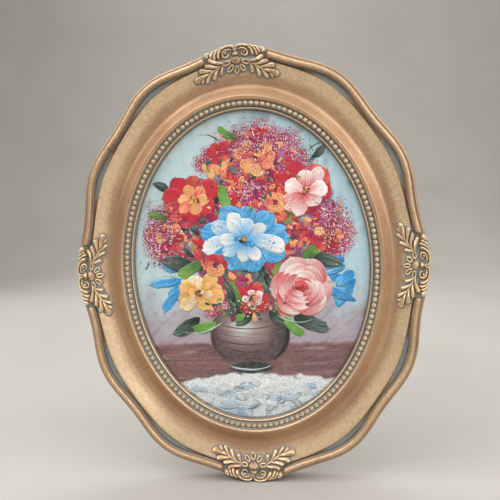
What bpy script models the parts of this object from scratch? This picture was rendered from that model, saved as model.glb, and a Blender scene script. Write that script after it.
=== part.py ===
# Oval oil painting on board in a cast, gilt frame with four leaf-and-flower ornaments.
# Metres. The front faces -Y, +Z is up, and the flat back lies in the plane y = 0. The origin is on the flat
# back at the top centre, just above the hanger, where the picture hangs on the wall.
# "height" is the distance from the wall plane towards the viewer, "offset" the distance outward from the
# sight edge (the oval opening), "turn" the parametric angle round the oval, anticlockwise from the right.

import math

import bmesh
import bpy
from mathutils import Vector
from mathutils.geometry import delaunay_2d_cdt

MM = 0.001

# Sight opening and the two widths of the moulding
SIGHT_HALF_WIDTH = 95.0 * MM
SIGHT_HALF_HEIGHT = 124.0 * MM
MOULDING_WIDTH_SIDES = 42.5 * MM
MOULDING_WIDTH_ENDS = 46.5 * MM
HANG_OFFSET = 36.0 * MM  # from the top of the opening up to the hanging point

# Wavy outline: twelve lobes, one under each ornament and two between neighbours, a little fuller between them
LOBE_COUNT = 12
LOBE_SWING = 2.1 * MM
QUARTER_SWING = 0.6 * MM
GROOVE_SWING = 0.6 * MM

# Heights and offsets of the moulding's section
REBATE_OFFSET = 7.0 * MM
REBATE_DEPTH = 7.0 * MM
SIGHT_EDGE_HEIGHT = 10.0 * MM
FILLET_OFFSET = 1.5 * MM
FILLET_HEIGHT = 11.8 * MM
CHANNEL_IN = (2.7 * MM, 10.8 * MM)
CHANNEL_OUT = (7.4 * MM, 14.8 * MM)
LIP = (8.4 * MM, 16.8 * MM)
VALLEY = (18.6 * MM, 12.6 * MM)
COVE_RISE = (27.0 * MM, 14.6 * MM)
GROOVE_EDGE_INSET = 10.7 * MM
GROOVE_EDGE_HEIGHT = 18.2 * MM
GROOVE_HEIGHT = 16.6 * MM
RIM_HEIGHT = 22.6 * MM
RIM_SHOULDER_HEIGHT = 21.2 * MM
RIM_STEP_HEIGHT = 18.3 * MM
RIM_WIDTH = 7.6 * MM
RIM_STEP_WIDTH = 2.4 * MM
RIM_ROUNDING = 0.7 * MM
EDGE_CHAMFER = 0.4 * MM
CARVED_HALF_LENGTH = 24.8 * MM  # half length of the rim that each ornament replaces
CUT_LENGTH = 0.8 * MM
CLEFT_HALF_WIDTH = 2.0 * MM
CLEFT_DEPTH = 1.4 * MM

STATIONS = 80
BEAD_COUNT = 160
BEAD_RADIUS = 2.05 * MM
BEAD_CENTRE_HEIGHT = 13.1 * MM
BEAD_SIDES = 5
BEAD_TOP = 0.5  # radius of a bead's faceted top, as a share of its own

# Ornament, measured from the cleft in the rim: across (along the rim) and in (towards the painting)
LEAF_RISE = 2.6 * MM
SMALL_RISE = 1.9 * MM
BOSS_RISE = 2.9 * MM
BOSS_CROWN = 0.9 * MM  # the boss's middle stands this much over its shoulder
SCROLL_RISE = 3.0 * MM
STEM_START = (8.0 * MM, 13.0 * MM)
STEM_BEND = (15.0 * MM, 18.6 * MM)
STEM_END = (21.5 * MM, 21.2 * MM)
STEM_WIDTH = 2.2 * MM
TIP_LEAF_PLACE = 1.9  # places along the stem run from 0 at its start through 1 at its bend to 2 at its end
LEAF_TIP = (31.5 * MM, 24.2 * MM)
OUTER_LEAF_PLACES = (0.35, 0.95, 2.0)
OUTER_LEAF_SHIFT = (0.6 * MM, -1.4 * MM)
OUTER_LEAF_LENGTHS = (9.4 * MM, 6.8 * MM, 6.6 * MM)
OUTER_LEAF_WIDTHS = (4.6 * MM, 4.2 * MM, 4.0 * MM)
TIP_LEAF_WIDTH = 5.2 * MM
OUTER_LEAF_ANGLE = math.radians(22.0)
INNER_LEAF_PLACES = (0.15, 0.8, 1.6)
INNER_LEAF_SHIFT = (0.0, 0.4 * MM)
INNER_LEAF_LENGTH = 4.8 * MM
INNER_LEAF_WIDTH = 3.2 * MM
INNER_LEAF_ANGLES = (math.radians(83.0), math.radians(72.0), math.radians(63.0))
BOSS_IN = 12.2 * MM
BOSS_WIDTH = 9.0 * MM
BOSS_DEPTH = 6.2 * MM
PETAL_COUNT = 5
PETAL_SPREAD = (math.radians(8.0), math.radians(172.0))
PETAL_REACH = (3.6 * MM, 8.4 * MM)  # inner and outer end of a petal, from the boss's middle
PETAL_STRETCH = 1.15  # the ring of petals is this much longer along the rim than across it
PETAL_SHIFT = 0.6 * MM
PETAL_WIDTH = 4.4 * MM
PETAL_HOLLOW = 1.1 * MM
BUD_WIDTH = 4.6 * MM
BUD_ENDS = (8.7 * MM, 4.6 * MM)
SMALL_BUD_WIDTH = 2.6 * MM
CLEFT_BUD = ((1.3 * MM, 3.1 * MM), (4.4 * MM, 5.8 * MM))
SIDE_BUD = ((5.6 * MM, 9.6 * MM), (6.8 * MM, 6.4 * MM))
KNUCKLE_LENGTH = 5.6 * MM
KNUCKLE_WIDTH = 5.4 * MM
KNUCKLE_IN = 3.3 * MM
SPINE_IN = 2.3 * MM
SPINE_WIDTH = 2.8 * MM
SPINE_STOPS = (0.6 * MM, 5.0 * MM, 10.0 * MM, 15.0 * MM, 18.5 * MM)
FLUTE_COUNT = 3
FLUTE_START = (7.0 * MM, 3.8 * MM)
FLUTE_PITCH = 3.5 * MM
FLUTE_LENGTH = 6.6 * MM
FLUTE_SHORTENING = 0.4 * MM  # each flute is this much shorter than the one nearer the cleft
FLUTE_WIDTH = 3.1 * MM
FLUTE_ANGLE = math.radians(64.0)
FLUTE_FAN = math.radians(3.5)
MERGE_DISTANCE = 0.001 * MM
SHAPE_REACH = 22.0 * MM  # longer than any lobe or ridge
WIDEST_AT = 0.62  # share of a lobe's length at which it is widest
CREST_SHARE = 0.62  # size of a loop's or dome's crest, as a share of its outline

# Board and hardware
TOUCH_GAP = 0.3 * MM
BOARD_OFFSET = 6.2 * MM
BOARD_THICKNESS = 3.0 * MM
POINT_THICKNESS = 0.6 * MM
POINT_WIDTH = 8.0 * MM
POINT_INNER_OFFSET = -3.0 * MM
POINT_OUTER_OFFSET = 13.6 * MM
POINT_BARB_LENGTH = 3.5 * MM
POINT_TURNS = (35.0, 145.0, 215.0, 325.0)
RECESS_HALF_LENGTH = 27.0 * MM
RECESS_OFFSETS = (17.0 * MM, 27.0 * MM)
RECESS_DEPTH = 2.0 * MM
POCKET_HALF_LENGTH = 17.0 * MM
POCKET_OFFSETS = (10.5 * MM, 24.0 * MM)
POCKET_DEPTH = 6.5 * MM
PLATE_THICKNESS = 0.9 * MM
PLATE_EDGE_GAP = 0.5 * MM
TOOTH_COUNT = 9
TOOTH_PITCH = 3.0 * MM
TOOTH_DEPTH = 1.6 * MM
NAIL_ACROSS = 22.0 * MM
NAIL_RADIUS = 0.7 * MM
NAIL_SIDES = 8
NAIL_HEAD_RADIUS = 1.8 * MM
NAIL_HEAD_THICKNESS = 0.45 * MM
NAIL_LENGTH = 6.0 * MM
TIP_CLEARANCE = 1.0 * MM

CENTRE_HEIGHT = -(SIGHT_HALF_HEIGHT + HANG_OFFSET)  # z of the oval's centre

for old in list(bpy.data.objects):
    bpy.data.objects.remove(old)


def material(name, colour, roughness, metallic=0.0):
    made = bpy.data.materials.new(name)
    made.use_nodes = True
    shader = made.node_tree.nodes["Principled BSDF"]
    shader.inputs["Base Color"].default_value = (*colour, 1.0)
    shader.inputs["Roughness"].default_value = roughness
    shader.inputs["Metallic"].default_value = metallic
    return made


def finish(bm, name, paint, smooth_angle=35.0):
    """Turn the bmesh into an object whose faces point out."""
    bmesh.ops.recalc_face_normals(bm, faces=bm.faces)
    mesh = bpy.data.meshes.new(name)
    bm.to_mesh(mesh)
    bm.free()
    made = bpy.data.objects.new(name, mesh)
    bpy.context.scene.collection.objects.link(made)
    if paint is not None:
        mesh.materials.append(paint)
    for face in mesh.polygons:
        face.use_smooth = True
    mesh.set_sharp_from_angle(angle=math.radians(smooth_angle))
    return made


def make_cutter(made):
    made.hide_render = True
    made.display_type = "WIRE"
    return made


def boolean(target, cutter, operation, self_touching=False):
    step = target.modifiers.new(f"{operation.lower()} {cutter.name}", "BOOLEAN")
    step.object = cutter
    step.operation = operation
    step.solver = "EXACT"
    step.use_self = self_touching


# The oval and the moulding's section

def oval_point(turn, offset):
    """Point of the oval at this turn, moved outward along its normal, from the oval's centre."""
    across = SIGHT_HALF_WIDTH * math.cos(turn)
    up = SIGHT_HALF_HEIGHT * math.sin(turn)
    normal = oval_normal(turn)
    return Vector((across + normal.x * offset, up + normal.y * offset))


def oval_normal(turn):
    return Vector((math.cos(turn) / SIGHT_HALF_WIDTH, math.sin(turn) / SIGHT_HALF_HEIGHT)).normalized()


def find_turn(point):
    """Turn and offset of a point of the plane, by Newton steps towards the nearest point of the oval."""
    turn = math.atan2(point.y / SIGHT_HALF_HEIGHT, point.x / SIGHT_HALF_WIDTH)
    for step in range(12):
        tangent = Vector((-SIGHT_HALF_WIDTH * math.sin(turn), SIGHT_HALF_HEIGHT * math.cos(turn)))
        speed = tangent.length
        normal = oval_normal(turn)
        away = point - oval_point(turn, 0.0)
        offset = away.dot(normal)
        bend = SIGHT_HALF_WIDTH * SIGHT_HALF_HEIGHT / speed ** 3
        turn += away.dot(tangent) / speed / (speed * (1.0 + offset * bend))
    return turn, offset


def place(plane_point, height):
    return Vector((plane_point.x, -height, plane_point.y + CENTRE_HEIGHT))


def moulding_width(turn):
    """Mean width of the moulding at this turn, without the lobes."""
    return MOULDING_WIDTH_SIDES + (MOULDING_WIDTH_ENDS - MOULDING_WIDTH_SIDES) * math.sin(turn) ** 2


def rim_base_offset(turn):
    """Outer edge of the moulding, without the clefts."""
    wave = LOBE_SWING * math.cos(LOBE_COUNT * turn) - QUARTER_SWING * math.cos(4 * turn)
    return moulding_width(turn) + wave


def from_cleft(turn):
    """Distance along the rim from the middle of the nearest ornament."""
    rim = oval_point(turn, rim_base_offset(turn))
    return min(abs(rim.x), abs(rim.y))


def rim_offset(turn):
    notch = max(0.0, 1.0 - from_cleft(turn) / CLEFT_HALF_WIDTH)
    return rim_base_offset(turn) - CLEFT_DEPTH * notch


def is_carved(turn):
    """True where an ornament replaces the plain rim."""
    return from_cleft(turn) < CARVED_HALF_LENGTH


def front_section(turn):
    """Named (offset, height) points over the front, from the sight edge to the outer edge."""
    edge = rim_offset(turn)
    rim_inner = edge - RIM_WIDTH
    rim_outer = edge - RIM_STEP_WIDTH
    section = {
        "sight": (0.0, SIGHT_EDGE_HEIGHT),
        "fillet": (FILLET_OFFSET, FILLET_HEIGHT),
        "channel_in": CHANNEL_IN,
        "channel_out": CHANNEL_OUT,
        "lip": LIP,
        "valley": VALLEY,
        "cove": COVE_RISE,
        "groove_edge": (
            moulding_width(turn) - GROOVE_EDGE_INSET + GROOVE_SWING * math.cos(LOBE_COUNT * turn),
            GROOVE_EDGE_HEIGHT,
        ),
        "groove": (rim_inner, GROOVE_HEIGHT),
        "rim_rise": (rim_inner + RIM_ROUNDING, RIM_SHOULDER_HEIGHT),
        "rim_top": ((rim_inner + rim_outer) / 2, RIM_HEIGHT),
        "rim_fall": (rim_outer - RIM_ROUNDING, RIM_SHOULDER_HEIGHT),
        "rim_step": (rim_outer, RIM_STEP_HEIGHT),
        "outer": (edge - EDGE_CHAMFER, RIM_STEP_HEIGHT - EDGE_CHAMFER),
    }
    if is_carved(turn):
        for name in ("rim_rise", "rim_top", "rim_fall"):
            del section[name]
    return section


def plain_height(point):
    """Height of the moulding, without beads and ornaments, above a point of the plane."""
    turn, offset = find_turn(point)
    section = list(front_section(turn).values())
    offset = min(max(offset, section[0][0]), section[-1][0])
    for (start, low), (end, high) in zip(section, section[1:]):
        if offset <= end:
            return low + (high - low) * (offset - start) / (end - start)
    return section[-1][1]


def ring_stations():
    """Turns of the ring's cross sections: evenly spread, with more at the clefts and the ends of the rim."""
    turns = [math.tau * i / STATIONS for i in range(STATIONS)]
    search = [math.tau * i / 3600 for i in range(3601)]
    for limit, spread in ((CARVED_HALF_LENGTH, CUT_LENGTH / 2), (CLEFT_HALF_WIDTH, 0.0)):
        for a, b in zip(search, search[1:]):
            if (from_cleft(a) < limit) != (from_cleft(b) < limit):
                stretch = abs(from_cleft(b) - from_cleft(a))
                middle = a + (b - a) * abs(limit - from_cleft(a)) / stretch
                half = (b - a) * spread / stretch
                near = max(2.5 * half, 0.6 * (b - a) * CLEFT_HALF_WIDTH / stretch)
                turns = [t for t in turns if abs(t - middle) > near]
                turns += [middle - half, middle + half] if half else [middle]
    return sorted(turns)


# Lobes: the raised shapes of the carving. Each one gives its outline, its crest points and its height.

class Lobe:
    """A tear-shaped roof from a root to a round tip. With a hollow it is a loop with a sunk middle, and with
    a negative hollow a dome whose middle stands higher."""

    def __init__(self, root, tip, width, rise, sides=6, hollow=0.0):
        self.root = root
        self.line = tip - root
        self.across = Vector((-self.line.y, self.line.x)).normalized()
        self.width = width
        self.rise = rise
        self.hollow = hollow
        half = ((0.6, 1.0),) if sides == 4 else ((0.45, 0.78), (0.85, 0.80))
        steps = [(0.0, 0.0), *half, (1.0, 0.0), *((along, -out) for along, out in reversed(half))]
        self.outline = [self.at(along, out) for along, out in steps]
        middle = self.at(WIDEST_AT, 0.0)
        if hollow:
            self.crest = [middle + (p - middle) * CREST_SHARE for p in self.outline] + [middle]
        elif sides == 4:
            self.crest = [middle]
        else:
            self.crest = [self.at(0.48, 0.0), self.at(0.78, 0.0)]

    def at(self, along, out):
        return self.root + self.line * along + self.across * (self.width / 2 * out)

    def height(self, point):
        """Height above the plain moulding, zero from the outline outwards."""
        away = point - self.root
        along = away.dot(self.line) / self.line.length_squared
        out = away.dot(self.across) / (self.width / 2)
        if not 0.02 < along < 0.98:
            return 0.0
        past = along - WIDEST_AT
        round_part = past / (1 - WIDEST_AT)
        half = math.sqrt(1 - round_part ** 2) if past > 0 else (along / WIDEST_AT) ** 0.8
        reach = abs(out) / half
        if self.hollow:
            centre = Vector((round_part if past > 0 else past / WIDEST_AT, out)).length
            return self.rise - self.hollow * max(0.0, 1 - centre / 0.5) if centre < 0.72 else 0.0
        return self.rise * math.sqrt(1 - reach ** 2) if reach < 0.9 else 0.0


class Ridge:
    """A narrow ridge along a few points, closed at both ends."""

    def __init__(self, line, width, rise):
        self.line = line
        self.width = width
        self.rise = rise
        left, right = [], []
        for i in range(1, len(line) - 1):
            heading = (line[i + 1] - line[i - 1]).normalized()
            out = Vector((-heading.y, heading.x)) * width / 2
            left.append(line[i] + out)
            right.append(line[i] - out)
        self.outline = [line[0]] + left + [line[-1]] + right[::-1]
        self.crest = line[1:-1]

    def height(self, point):
        nearest = min((point - p).length for p in self.crest)
        return self.rise if nearest < 0.2 * self.width else 0.0


# One ornament, in its own flat coordinates: across along the rim, in towards the painting

class Ornament:
    def __init__(self, quarter):
        self.turn = quarter * math.pi / 2
        self.outward = oval_normal(self.turn)
        self.along = Vector((-self.outward.y, self.outward.x))
        self.cleft = oval_point(self.turn, rim_base_offset(self.turn))
        self.shapes = []
        self.add_flower()
        for side in (-1, 1):
            self.add_scroll(side)
            self.add_spray(side)

    def plane(self, point, side=1):
        return self.cleft + self.along * (point[0] * side) - self.outward * point[1]

    def edge_drop(self, across):
        """How far the rim's edge curves back from the cleft's level, this far along it."""
        turn, offset = find_turn(self.plane((across, 0.0)))
        return offset - rim_base_offset(turn)

    def add_lobe(self, root, tip, width, rise, side=1, sides=6, hollow=0.0):
        self.shapes.append(Lobe(self.plane(root, side), self.plane(tip, side), width, rise, sides, hollow))

    def add_spray(self, side):
        """The leaf spray on one side: a bent stem, a tip lobe, three long lobes outside and three inside."""
        stem = [self.plane(stem_point(place_along), side) for place_along in (0.0, 0.5, 1.0, 2.0)]
        self.shapes.append(Ridge(stem, STEM_WIDTH, SMALL_RISE))
        self.add_lobe(stem_point(TIP_LEAF_PLACE), LEAF_TIP, TIP_LEAF_WIDTH, LEAF_RISE, side)
        for leaf_place, length, width in zip(OUTER_LEAF_PLACES, OUTER_LEAF_LENGTHS, OUTER_LEAF_WIDTHS):
            root = shifted(stem_point(leaf_place), *OUTER_LEAF_SHIFT)
            self.add_lobe(root, headed(root, -OUTER_LEAF_ANGLE, length), width, LEAF_RISE, side)
        for leaf_place, heading in zip(INNER_LEAF_PLACES, INNER_LEAF_ANGLES):
            root = shifted(stem_point(leaf_place), *INNER_LEAF_SHIFT)
            tip = headed(root, heading, INNER_LEAF_LENGTH)
            self.add_lobe(root, tip, INNER_LEAF_WIDTH, SMALL_RISE, side, sides=4)

    def add_scroll(self, side):
        """Half of the carved rim: a knuckle at the cut, a spine along the edge and flutes combed off it."""
        reach = CARVED_HALF_LENGTH - CUT_LENGTH
        tip = (reach, KNUCKLE_IN + self.edge_drop(reach))
        self.add_lobe(shifted(tip, -KNUCKLE_LENGTH), tip, KNUCKLE_WIDTH, SCROLL_RISE, side)
        spine = [(across, SPINE_IN + self.edge_drop(across)) for across in SPINE_STOPS]
        self.shapes.append(Ridge([self.plane(p, side) for p in spine], SPINE_WIDTH, SCROLL_RISE))
        for i in range(FLUTE_COUNT):
            across = FLUTE_START[0] + FLUTE_PITCH * i
            root = (across, FLUTE_START[1] + self.edge_drop(across))
            tip = headed(root, FLUTE_ANGLE - FLUTE_FAN * i, FLUTE_LENGTH - FLUTE_SHORTENING * i)
            self.add_lobe(root, tip, FLUTE_WIDTH, SCROLL_RISE, side)
        for bud in (CLEFT_BUD, SIDE_BUD):
            self.add_lobe(*bud, SMALL_BUD_WIDTH, SMALL_RISE, side, sides=4)

    def add_flower(self):
        """The half flower: an oval boss, a bud between it and the cleft, and five loop petals round it."""
        root = (-BOSS_WIDTH * WIDEST_AT, BOSS_IN)
        self.add_lobe(root, shifted(root, BOSS_WIDTH), BOSS_DEPTH, BOSS_RISE, hollow=-BOSS_CROWN)
        self.add_lobe(*((0.0, end) for end in BUD_ENDS), BUD_WIDTH, LEAF_RISE)
        first, last = PETAL_SPREAD
        for i in range(PETAL_COUNT):
            heading = first + (last - first) * i / (PETAL_COUNT - 1)
            across, inward = PETAL_STRETCH * math.cos(heading), math.sin(heading)
            ends = [(across * reach, BOSS_IN + PETAL_SHIFT + inward * reach) for reach in PETAL_REACH]
            self.add_lobe(*ends, PETAL_WIDTH, SMALL_RISE, hollow=PETAL_HOLLOW)


def mix(start, end, part):
    return (start[0] + (end[0] - start[0]) * part, start[1] + (end[1] - start[1]) * part)


def shifted(point, across, inward=0.0):
    return (point[0] + across, point[1] + inward)


def headed(root, heading, length):
    """The point at this length from the root, turned this far from along the rim towards the painting."""
    return shifted(root, length * math.cos(heading), length * math.sin(heading))


def stem_point(place_along):
    if place_along < 1:
        return mix(STEM_START, STEM_BEND, place_along)
    return mix(STEM_BEND, STEM_END, place_along - 1)


class Bead:
    """A ball half sunk in the channel's sloping floor."""

    def __init__(self, turn):
        offset = (CHANNEL_IN[0] + CHANNEL_OUT[0]) / 2
        self.centre = oval_point(turn, offset)
        outward = oval_normal(turn)
        along = Vector((-outward.y, outward.x))
        ways = [outward * math.sin(a) + along * math.cos(a) for a in
                (math.tau * (k + 0.25) / BEAD_SIDES for k in range(BEAD_SIDES))]
        self.outline = [self.centre + way * BEAD_RADIUS for way in ways]
        self.crest = [self.centre + way * BEAD_RADIUS * BEAD_TOP for way in ways]

    def height(self, point):
        reach = (point - self.centre).length
        if reach > 0.97 * BEAD_RADIUS:
            return 0.0
        ball = BEAD_CENTRE_HEIGHT + math.sqrt(BEAD_RADIUS ** 2 - reach ** 2)
        return max(0.0, ball - plain_height(point))


def even_turns(offset, count):
    """Turns at even distances round the oval at this offset."""
    fine = 1440
    turns = [math.tau * i / fine for i in range(fine + 1)]
    lengths = [0.0]
    for a, b in zip(turns, turns[1:]):
        lengths.append(lengths[-1] + (oval_point(b, offset) - oval_point(a, offset)).length)
    spread = []
    i = 0
    for bead in range(count):
        wanted = lengths[-1] * (bead + 0.5) / count
        while lengths[i + 1] < wanted:
            i += 1
        part = (wanted - lengths[i]) / (lengths[i + 1] - lengths[i])
        spread.append(turns[i] + (turns[i + 1] - turns[i]) * part)
    return spread


class Sheet:
    """Points and fold lines on the plane, joined later into one net of triangles."""

    def __init__(self):
        self.points = []
        self.folds = []

    def add(self, points):
        first = len(self.points)
        self.points += points
        return list(range(first, len(self.points)))

    def fold(self, numbers, closed):
        self.folds += list(zip(numbers, numbers[1:]))
        if closed:
            self.folds.append((numbers[-1], numbers[0]))

    def net(self):
        scaled = [p / MM for p in self.points]
        verts, edges, faces, origins = delaunay_2d_cdt(scaled, self.folds, [], 0, MERGE_DISTANCE / MM)[:4]
        numbers = {}
        for number, sources in enumerate(origins):
            for source in sources:
                numbers[source] = number
        return [v * MM for v in verts], faces, numbers


def inside(polygon, point):
    """Whether a point of the plane lies inside a closed polygon."""
    crossings = 0
    for a, b in zip(polygon, polygon[1:] + polygon[:1]):
        if (a.y > point.y) != (b.y > point.y):
            if point.x < a.x + (b.x - a.x) * (point.y - a.y) / (b.y - a.y):
                crossings += 1
    return crossings % 2 == 1


def add_front(bm, stations, shapes):
    """The whole front as one net: the moulding's lines, the beads and the ornaments. Gives its two edges."""
    sheet = Sheet()
    sections = [front_section(turn) for turn in stations]
    edges = {}
    for name in front_section(math.pi / 4):
        runs = [[]]
        for turn, section in zip(stations, sections):
            point = oval_point(turn, section[name][0]) if name in section else None
            reach = {"cove": LEAF_TIP[0], "groove_edge": CARVED_HALF_LENGTH, "groove": CARVED_HALF_LENGTH,
                     "rim_step": CARVED_HALF_LENGTH}.get(name, 0.0)
            if point is None or from_cleft(turn) < reach:
                runs.append([])
            else:
                runs[-1].append(point)
        closed = len(runs) == 1
        if not closed:
            runs[0] = runs.pop() + runs[0]
        for points in filter(None, runs):
            edges[name] = sheet.add(points)
            sheet.fold(edges[name], closed)
    for shape in shapes:
        sheet.fold(sheet.add(shape.outline), closed=True)
        sheet.fold(sheet.add(shape.crest), closed=False)
    points, faces, numbers = sheet.net()
    opening, outline = ([numbers[n] for n in edges[name]] for name in ("sight", "outer"))
    opening_line, outer_line = ([points[n] for n in loop] for loop in (opening, outline))
    verts = []
    for point in points:
        near = [shape for shape in shapes if (point - shape.outline[0]).length < SHAPE_REACH]
        raised = max((shape.height(point) for shape in near), default=0.0)
        verts.append(bm.verts.new(place(point, plain_height(point) + raised)))
    for face in faces:
        middle = sum((points[n] for n in face), Vector((0.0, 0.0))) / 3
        if inside(outer_line, middle) and not inside(opening_line, middle):
            bm.faces.new([verts[n] for n in face])
    front_edges = [[verts[n] for n in loop] for loop in (opening, outline)]
    used = {vert for loop in front_edges for vert in loop}
    for vert in verts:
        if not vert.link_faces and vert not in used:
            bm.verts.remove(vert)
    return front_edges


def add_frame_solid(bm):
    """The front, then the sight edge's wall, the rebate, the back and the outer wall, round to the front."""
    stations = ring_stations()
    shapes = [Bead(turn) for turn in even_turns((CHANNEL_IN[0] + CHANNEL_OUT[0]) / 2, BEAD_COUNT)]
    for quarter in range(4):
        shapes += Ornament(quarter).shapes
    sight_edge, outer_edge = add_front(bm, stations, shapes)
    loops = [sight_edge]
    for offset, height in ((0.0, REBATE_DEPTH), (REBATE_OFFSET, REBATE_DEPTH), (REBATE_OFFSET, 0.0)):
        loops.append([bm.verts.new(place(oval_point(turn, offset), height)) for turn in stations])
    loops.append([bm.verts.new(place(oval_point(turn, rim_base_offset(turn)), 0.0)) for turn in stations])
    loops.append(outer_edge)
    for loop, following in zip(loops, loops[1:]):
        for i in range(len(loop)):
            j = (i + 1) % len(loop)
            bm.faces.new((loop[i], loop[j], following[j], following[i]))
    bmesh.ops.triangulate(bm, faces=[face for face in bm.faces if len(face.verts) > 3])


# Board and hardware

def add_block(bm, x_range, y_range, z_range):
    """A box between these coordinates."""
    corners = [bm.verts.new((x, y, z)) for x in x_range for y in y_range for z in z_range]
    for face in ((0, 1, 3, 2), (4, 6, 7, 5), (0, 4, 5, 1), (2, 3, 7, 6), (0, 2, 6, 4), (1, 5, 7, 3)):
        bm.faces.new([corners[i] for i in face])


def add_prism(bm, outline, low, high):
    """Extrude a closed outline of (x, z) points between two heights over the wall plane."""
    rings = [[bm.verts.new((x, -height, z)) for x, z in outline] for height in (low, high)]
    bm.faces.new(rings[0])
    bm.faces.new(rings[1])
    for i in range(len(outline)):
        j = (i + 1) % len(outline)
        bm.faces.new((rings[0][i], rings[0][j], rings[1][j], rings[1][i]))


def circle(across, up, radius, sides):
    return [
        (across + radius * math.cos(math.tau * k / sides), up + radius * math.sin(math.tau * k / sides))
        for k in range(sides)
    ]


def add_board(bm):
    outline = []
    for i in range(STATIONS):
        point = oval_point(math.tau * i / STATIONS, BOARD_OFFSET)
        outline.append((point.x, point.y + CENTRE_HEIGHT))
    front = REBATE_DEPTH - TOUCH_GAP
    add_prism(bm, outline, front - BOARD_THICKNESS, front)


def point_outline(turn, grow=0.0):
    """Outline of a retaining point: blunt over the board, pointed inside the frame."""
    outward = oval_normal(turn)
    along = Vector((-outward.y, outward.x))
    base = oval_point(turn, 0.0)
    half = POINT_WIDTH / 2 + grow
    corners = [
        (POINT_INNER_OFFSET - grow, -half),
        (POINT_INNER_OFFSET - grow, half),
        (POINT_OUTER_OFFSET - POINT_BARB_LENGTH, half),
        (POINT_OUTER_OFFSET + grow, 0.0),
        (POINT_OUTER_OFFSET - POINT_BARB_LENGTH, -half),
    ]
    flat = [base + outward * out + along * side for out, side in corners]
    return [(p.x, p.y + CENTRE_HEIGHT) for p in flat]


def point_heights(grow=0.0):
    front = REBATE_DEPTH - TOUCH_GAP - BOARD_THICKNESS - TOUCH_GAP
    return front - POINT_THICKNESS - grow, front + grow


def level(offset):
    """z of the top centre of the oval at this offset."""
    return CENTRE_HEIGHT + SIGHT_HALF_HEIGHT + offset


def hanger_outline():
    """The plate, with saw teeth along the middle of its lower edge."""
    left = RECESS_HALF_LENGTH - PLATE_EDGE_GAP
    low = level(RECESS_OFFSETS[0] + PLATE_EDGE_GAP)
    high = level(RECESS_OFFSETS[1] - PLATE_EDGE_GAP)
    outline = [(-left, high), (-left, low)]
    start = -TOOTH_PITCH * TOOTH_COUNT / 2
    for i in range(TOOTH_COUNT):
        outline.append((start + TOOTH_PITCH * i, low))
        outline.append((start + TOOTH_PITCH * (i + 0.5), low + TOOTH_DEPTH))
    return outline + [(-start, low), (left, low), (left, high)]


def nail_level():
    return level((RECESS_OFFSETS[0] + RECESS_OFFSETS[1]) / 2)


def add_back_cuts(bm):
    """All that is sunk into the frame's back: hanger recess, nail-head pocket, nail holes, point slots."""
    overshoot = 1.0 * MM
    low, high = (level(offset) for offset in RECESS_OFFSETS)
    add_block(bm, (-RECESS_HALF_LENGTH, RECESS_HALF_LENGTH), (-RECESS_DEPTH, overshoot), (low, high))
    low, high = (level(offset) for offset in POCKET_OFFSETS)
    add_block(bm, (-POCKET_HALF_LENGTH, POCKET_HALF_LENGTH), (-POCKET_DEPTH, 1.3 * overshoot), (low, high))
    for side in (-1, 1):
        hole = circle(side * NAIL_ACROSS, nail_level(), NAIL_RADIUS + TOUCH_GAP, NAIL_SIDES)
        add_prism(bm, hole, -0.7 * overshoot, NAIL_LENGTH + 2 * TOUCH_GAP)
    slot_low, slot_high = point_heights(TOUCH_GAP)
    for turn in POINT_TURNS:
        add_prism(bm, point_outline(math.radians(turn), TOUCH_GAP), slot_low, slot_high)


def build_frame():
    gold = material("gilt_resin", (0.58, 0.37, 0.21), 0.42, 0.35)
    bm = bmesh.new()
    add_frame_solid(bm)
    frame = finish(bm, "frame", gold)

    bm = bmesh.new()
    add_back_cuts(bm)
    boolean(frame, make_cutter(finish(bm, "back_cuts", None)), "DIFFERENCE", self_touching=True)


def build_board():
    bm = bmesh.new()
    add_board(bm)
    finish(bm, "painting_board", material("painted_board", (0.42, 0.44, 0.44), 0.5))


def build_hardware():
    steel = material("plated_steel", (0.55, 0.54, 0.52), 0.35, 1.0)
    for number, turn in enumerate(POINT_TURNS, start=1):
        bm = bmesh.new()
        add_prism(bm, point_outline(math.radians(turn)), *point_heights())
        finish(bm, f"retaining_point_{number}", steel)

    bm = bmesh.new()
    front = RECESS_DEPTH - TOUCH_GAP
    add_prism(bm, hanger_outline(), front - PLATE_THICKNESS, front)
    hanger = finish(bm, "hanger", material("brass_plated_steel", (0.62, 0.47, 0.22), 0.4, 1.0))
    bm = bmesh.new()
    for side in (-1, 1):
        hole = circle(side * NAIL_ACROSS, nail_level(), NAIL_RADIUS + TOUCH_GAP, NAIL_SIDES)
        add_prism(bm, hole, -1.0 * MM, 2 * RECESS_DEPTH)
    boolean(hanger, make_cutter(finish(bm, "hanger_holes", None)), "DIFFERENCE")

    for side, name in ((-1, "hanger_nail_left"), (1, "hanger_nail_right")):
        bm = bmesh.new()
        back = front - PLATE_THICKNESS - TOUCH_GAP
        tip = back + NAIL_LENGTH - TIP_CLEARANCE
        shank = circle(side * NAIL_ACROSS, nail_level(), NAIL_RADIUS, NAIL_SIDES)
        head = circle(side * NAIL_ACROSS, nail_level(), NAIL_HEAD_RADIUS, NAIL_SIDES)
        levels = ((head, back - NAIL_HEAD_THICKNESS), (head, back), (shank, back), (shank, tip))
        rings = [[bm.verts.new((x, -height, z)) for x, z in outline] for outline, height in levels]
        bm.faces.new(rings[0])
        bm.faces.new(rings[-1])
        for ring, following in zip(rings, rings[1:]):
            for i in range(len(ring)):
                j = (i + 1) % len(ring)
                bm.faces.new((ring[i], ring[j], following[j], following[i]))
        finish(bm, name, steel)


build_frame()
build_board()
build_hardware()
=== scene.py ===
import math

import bpy
import numpy as np
from mathutils import Matrix, Vector


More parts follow.
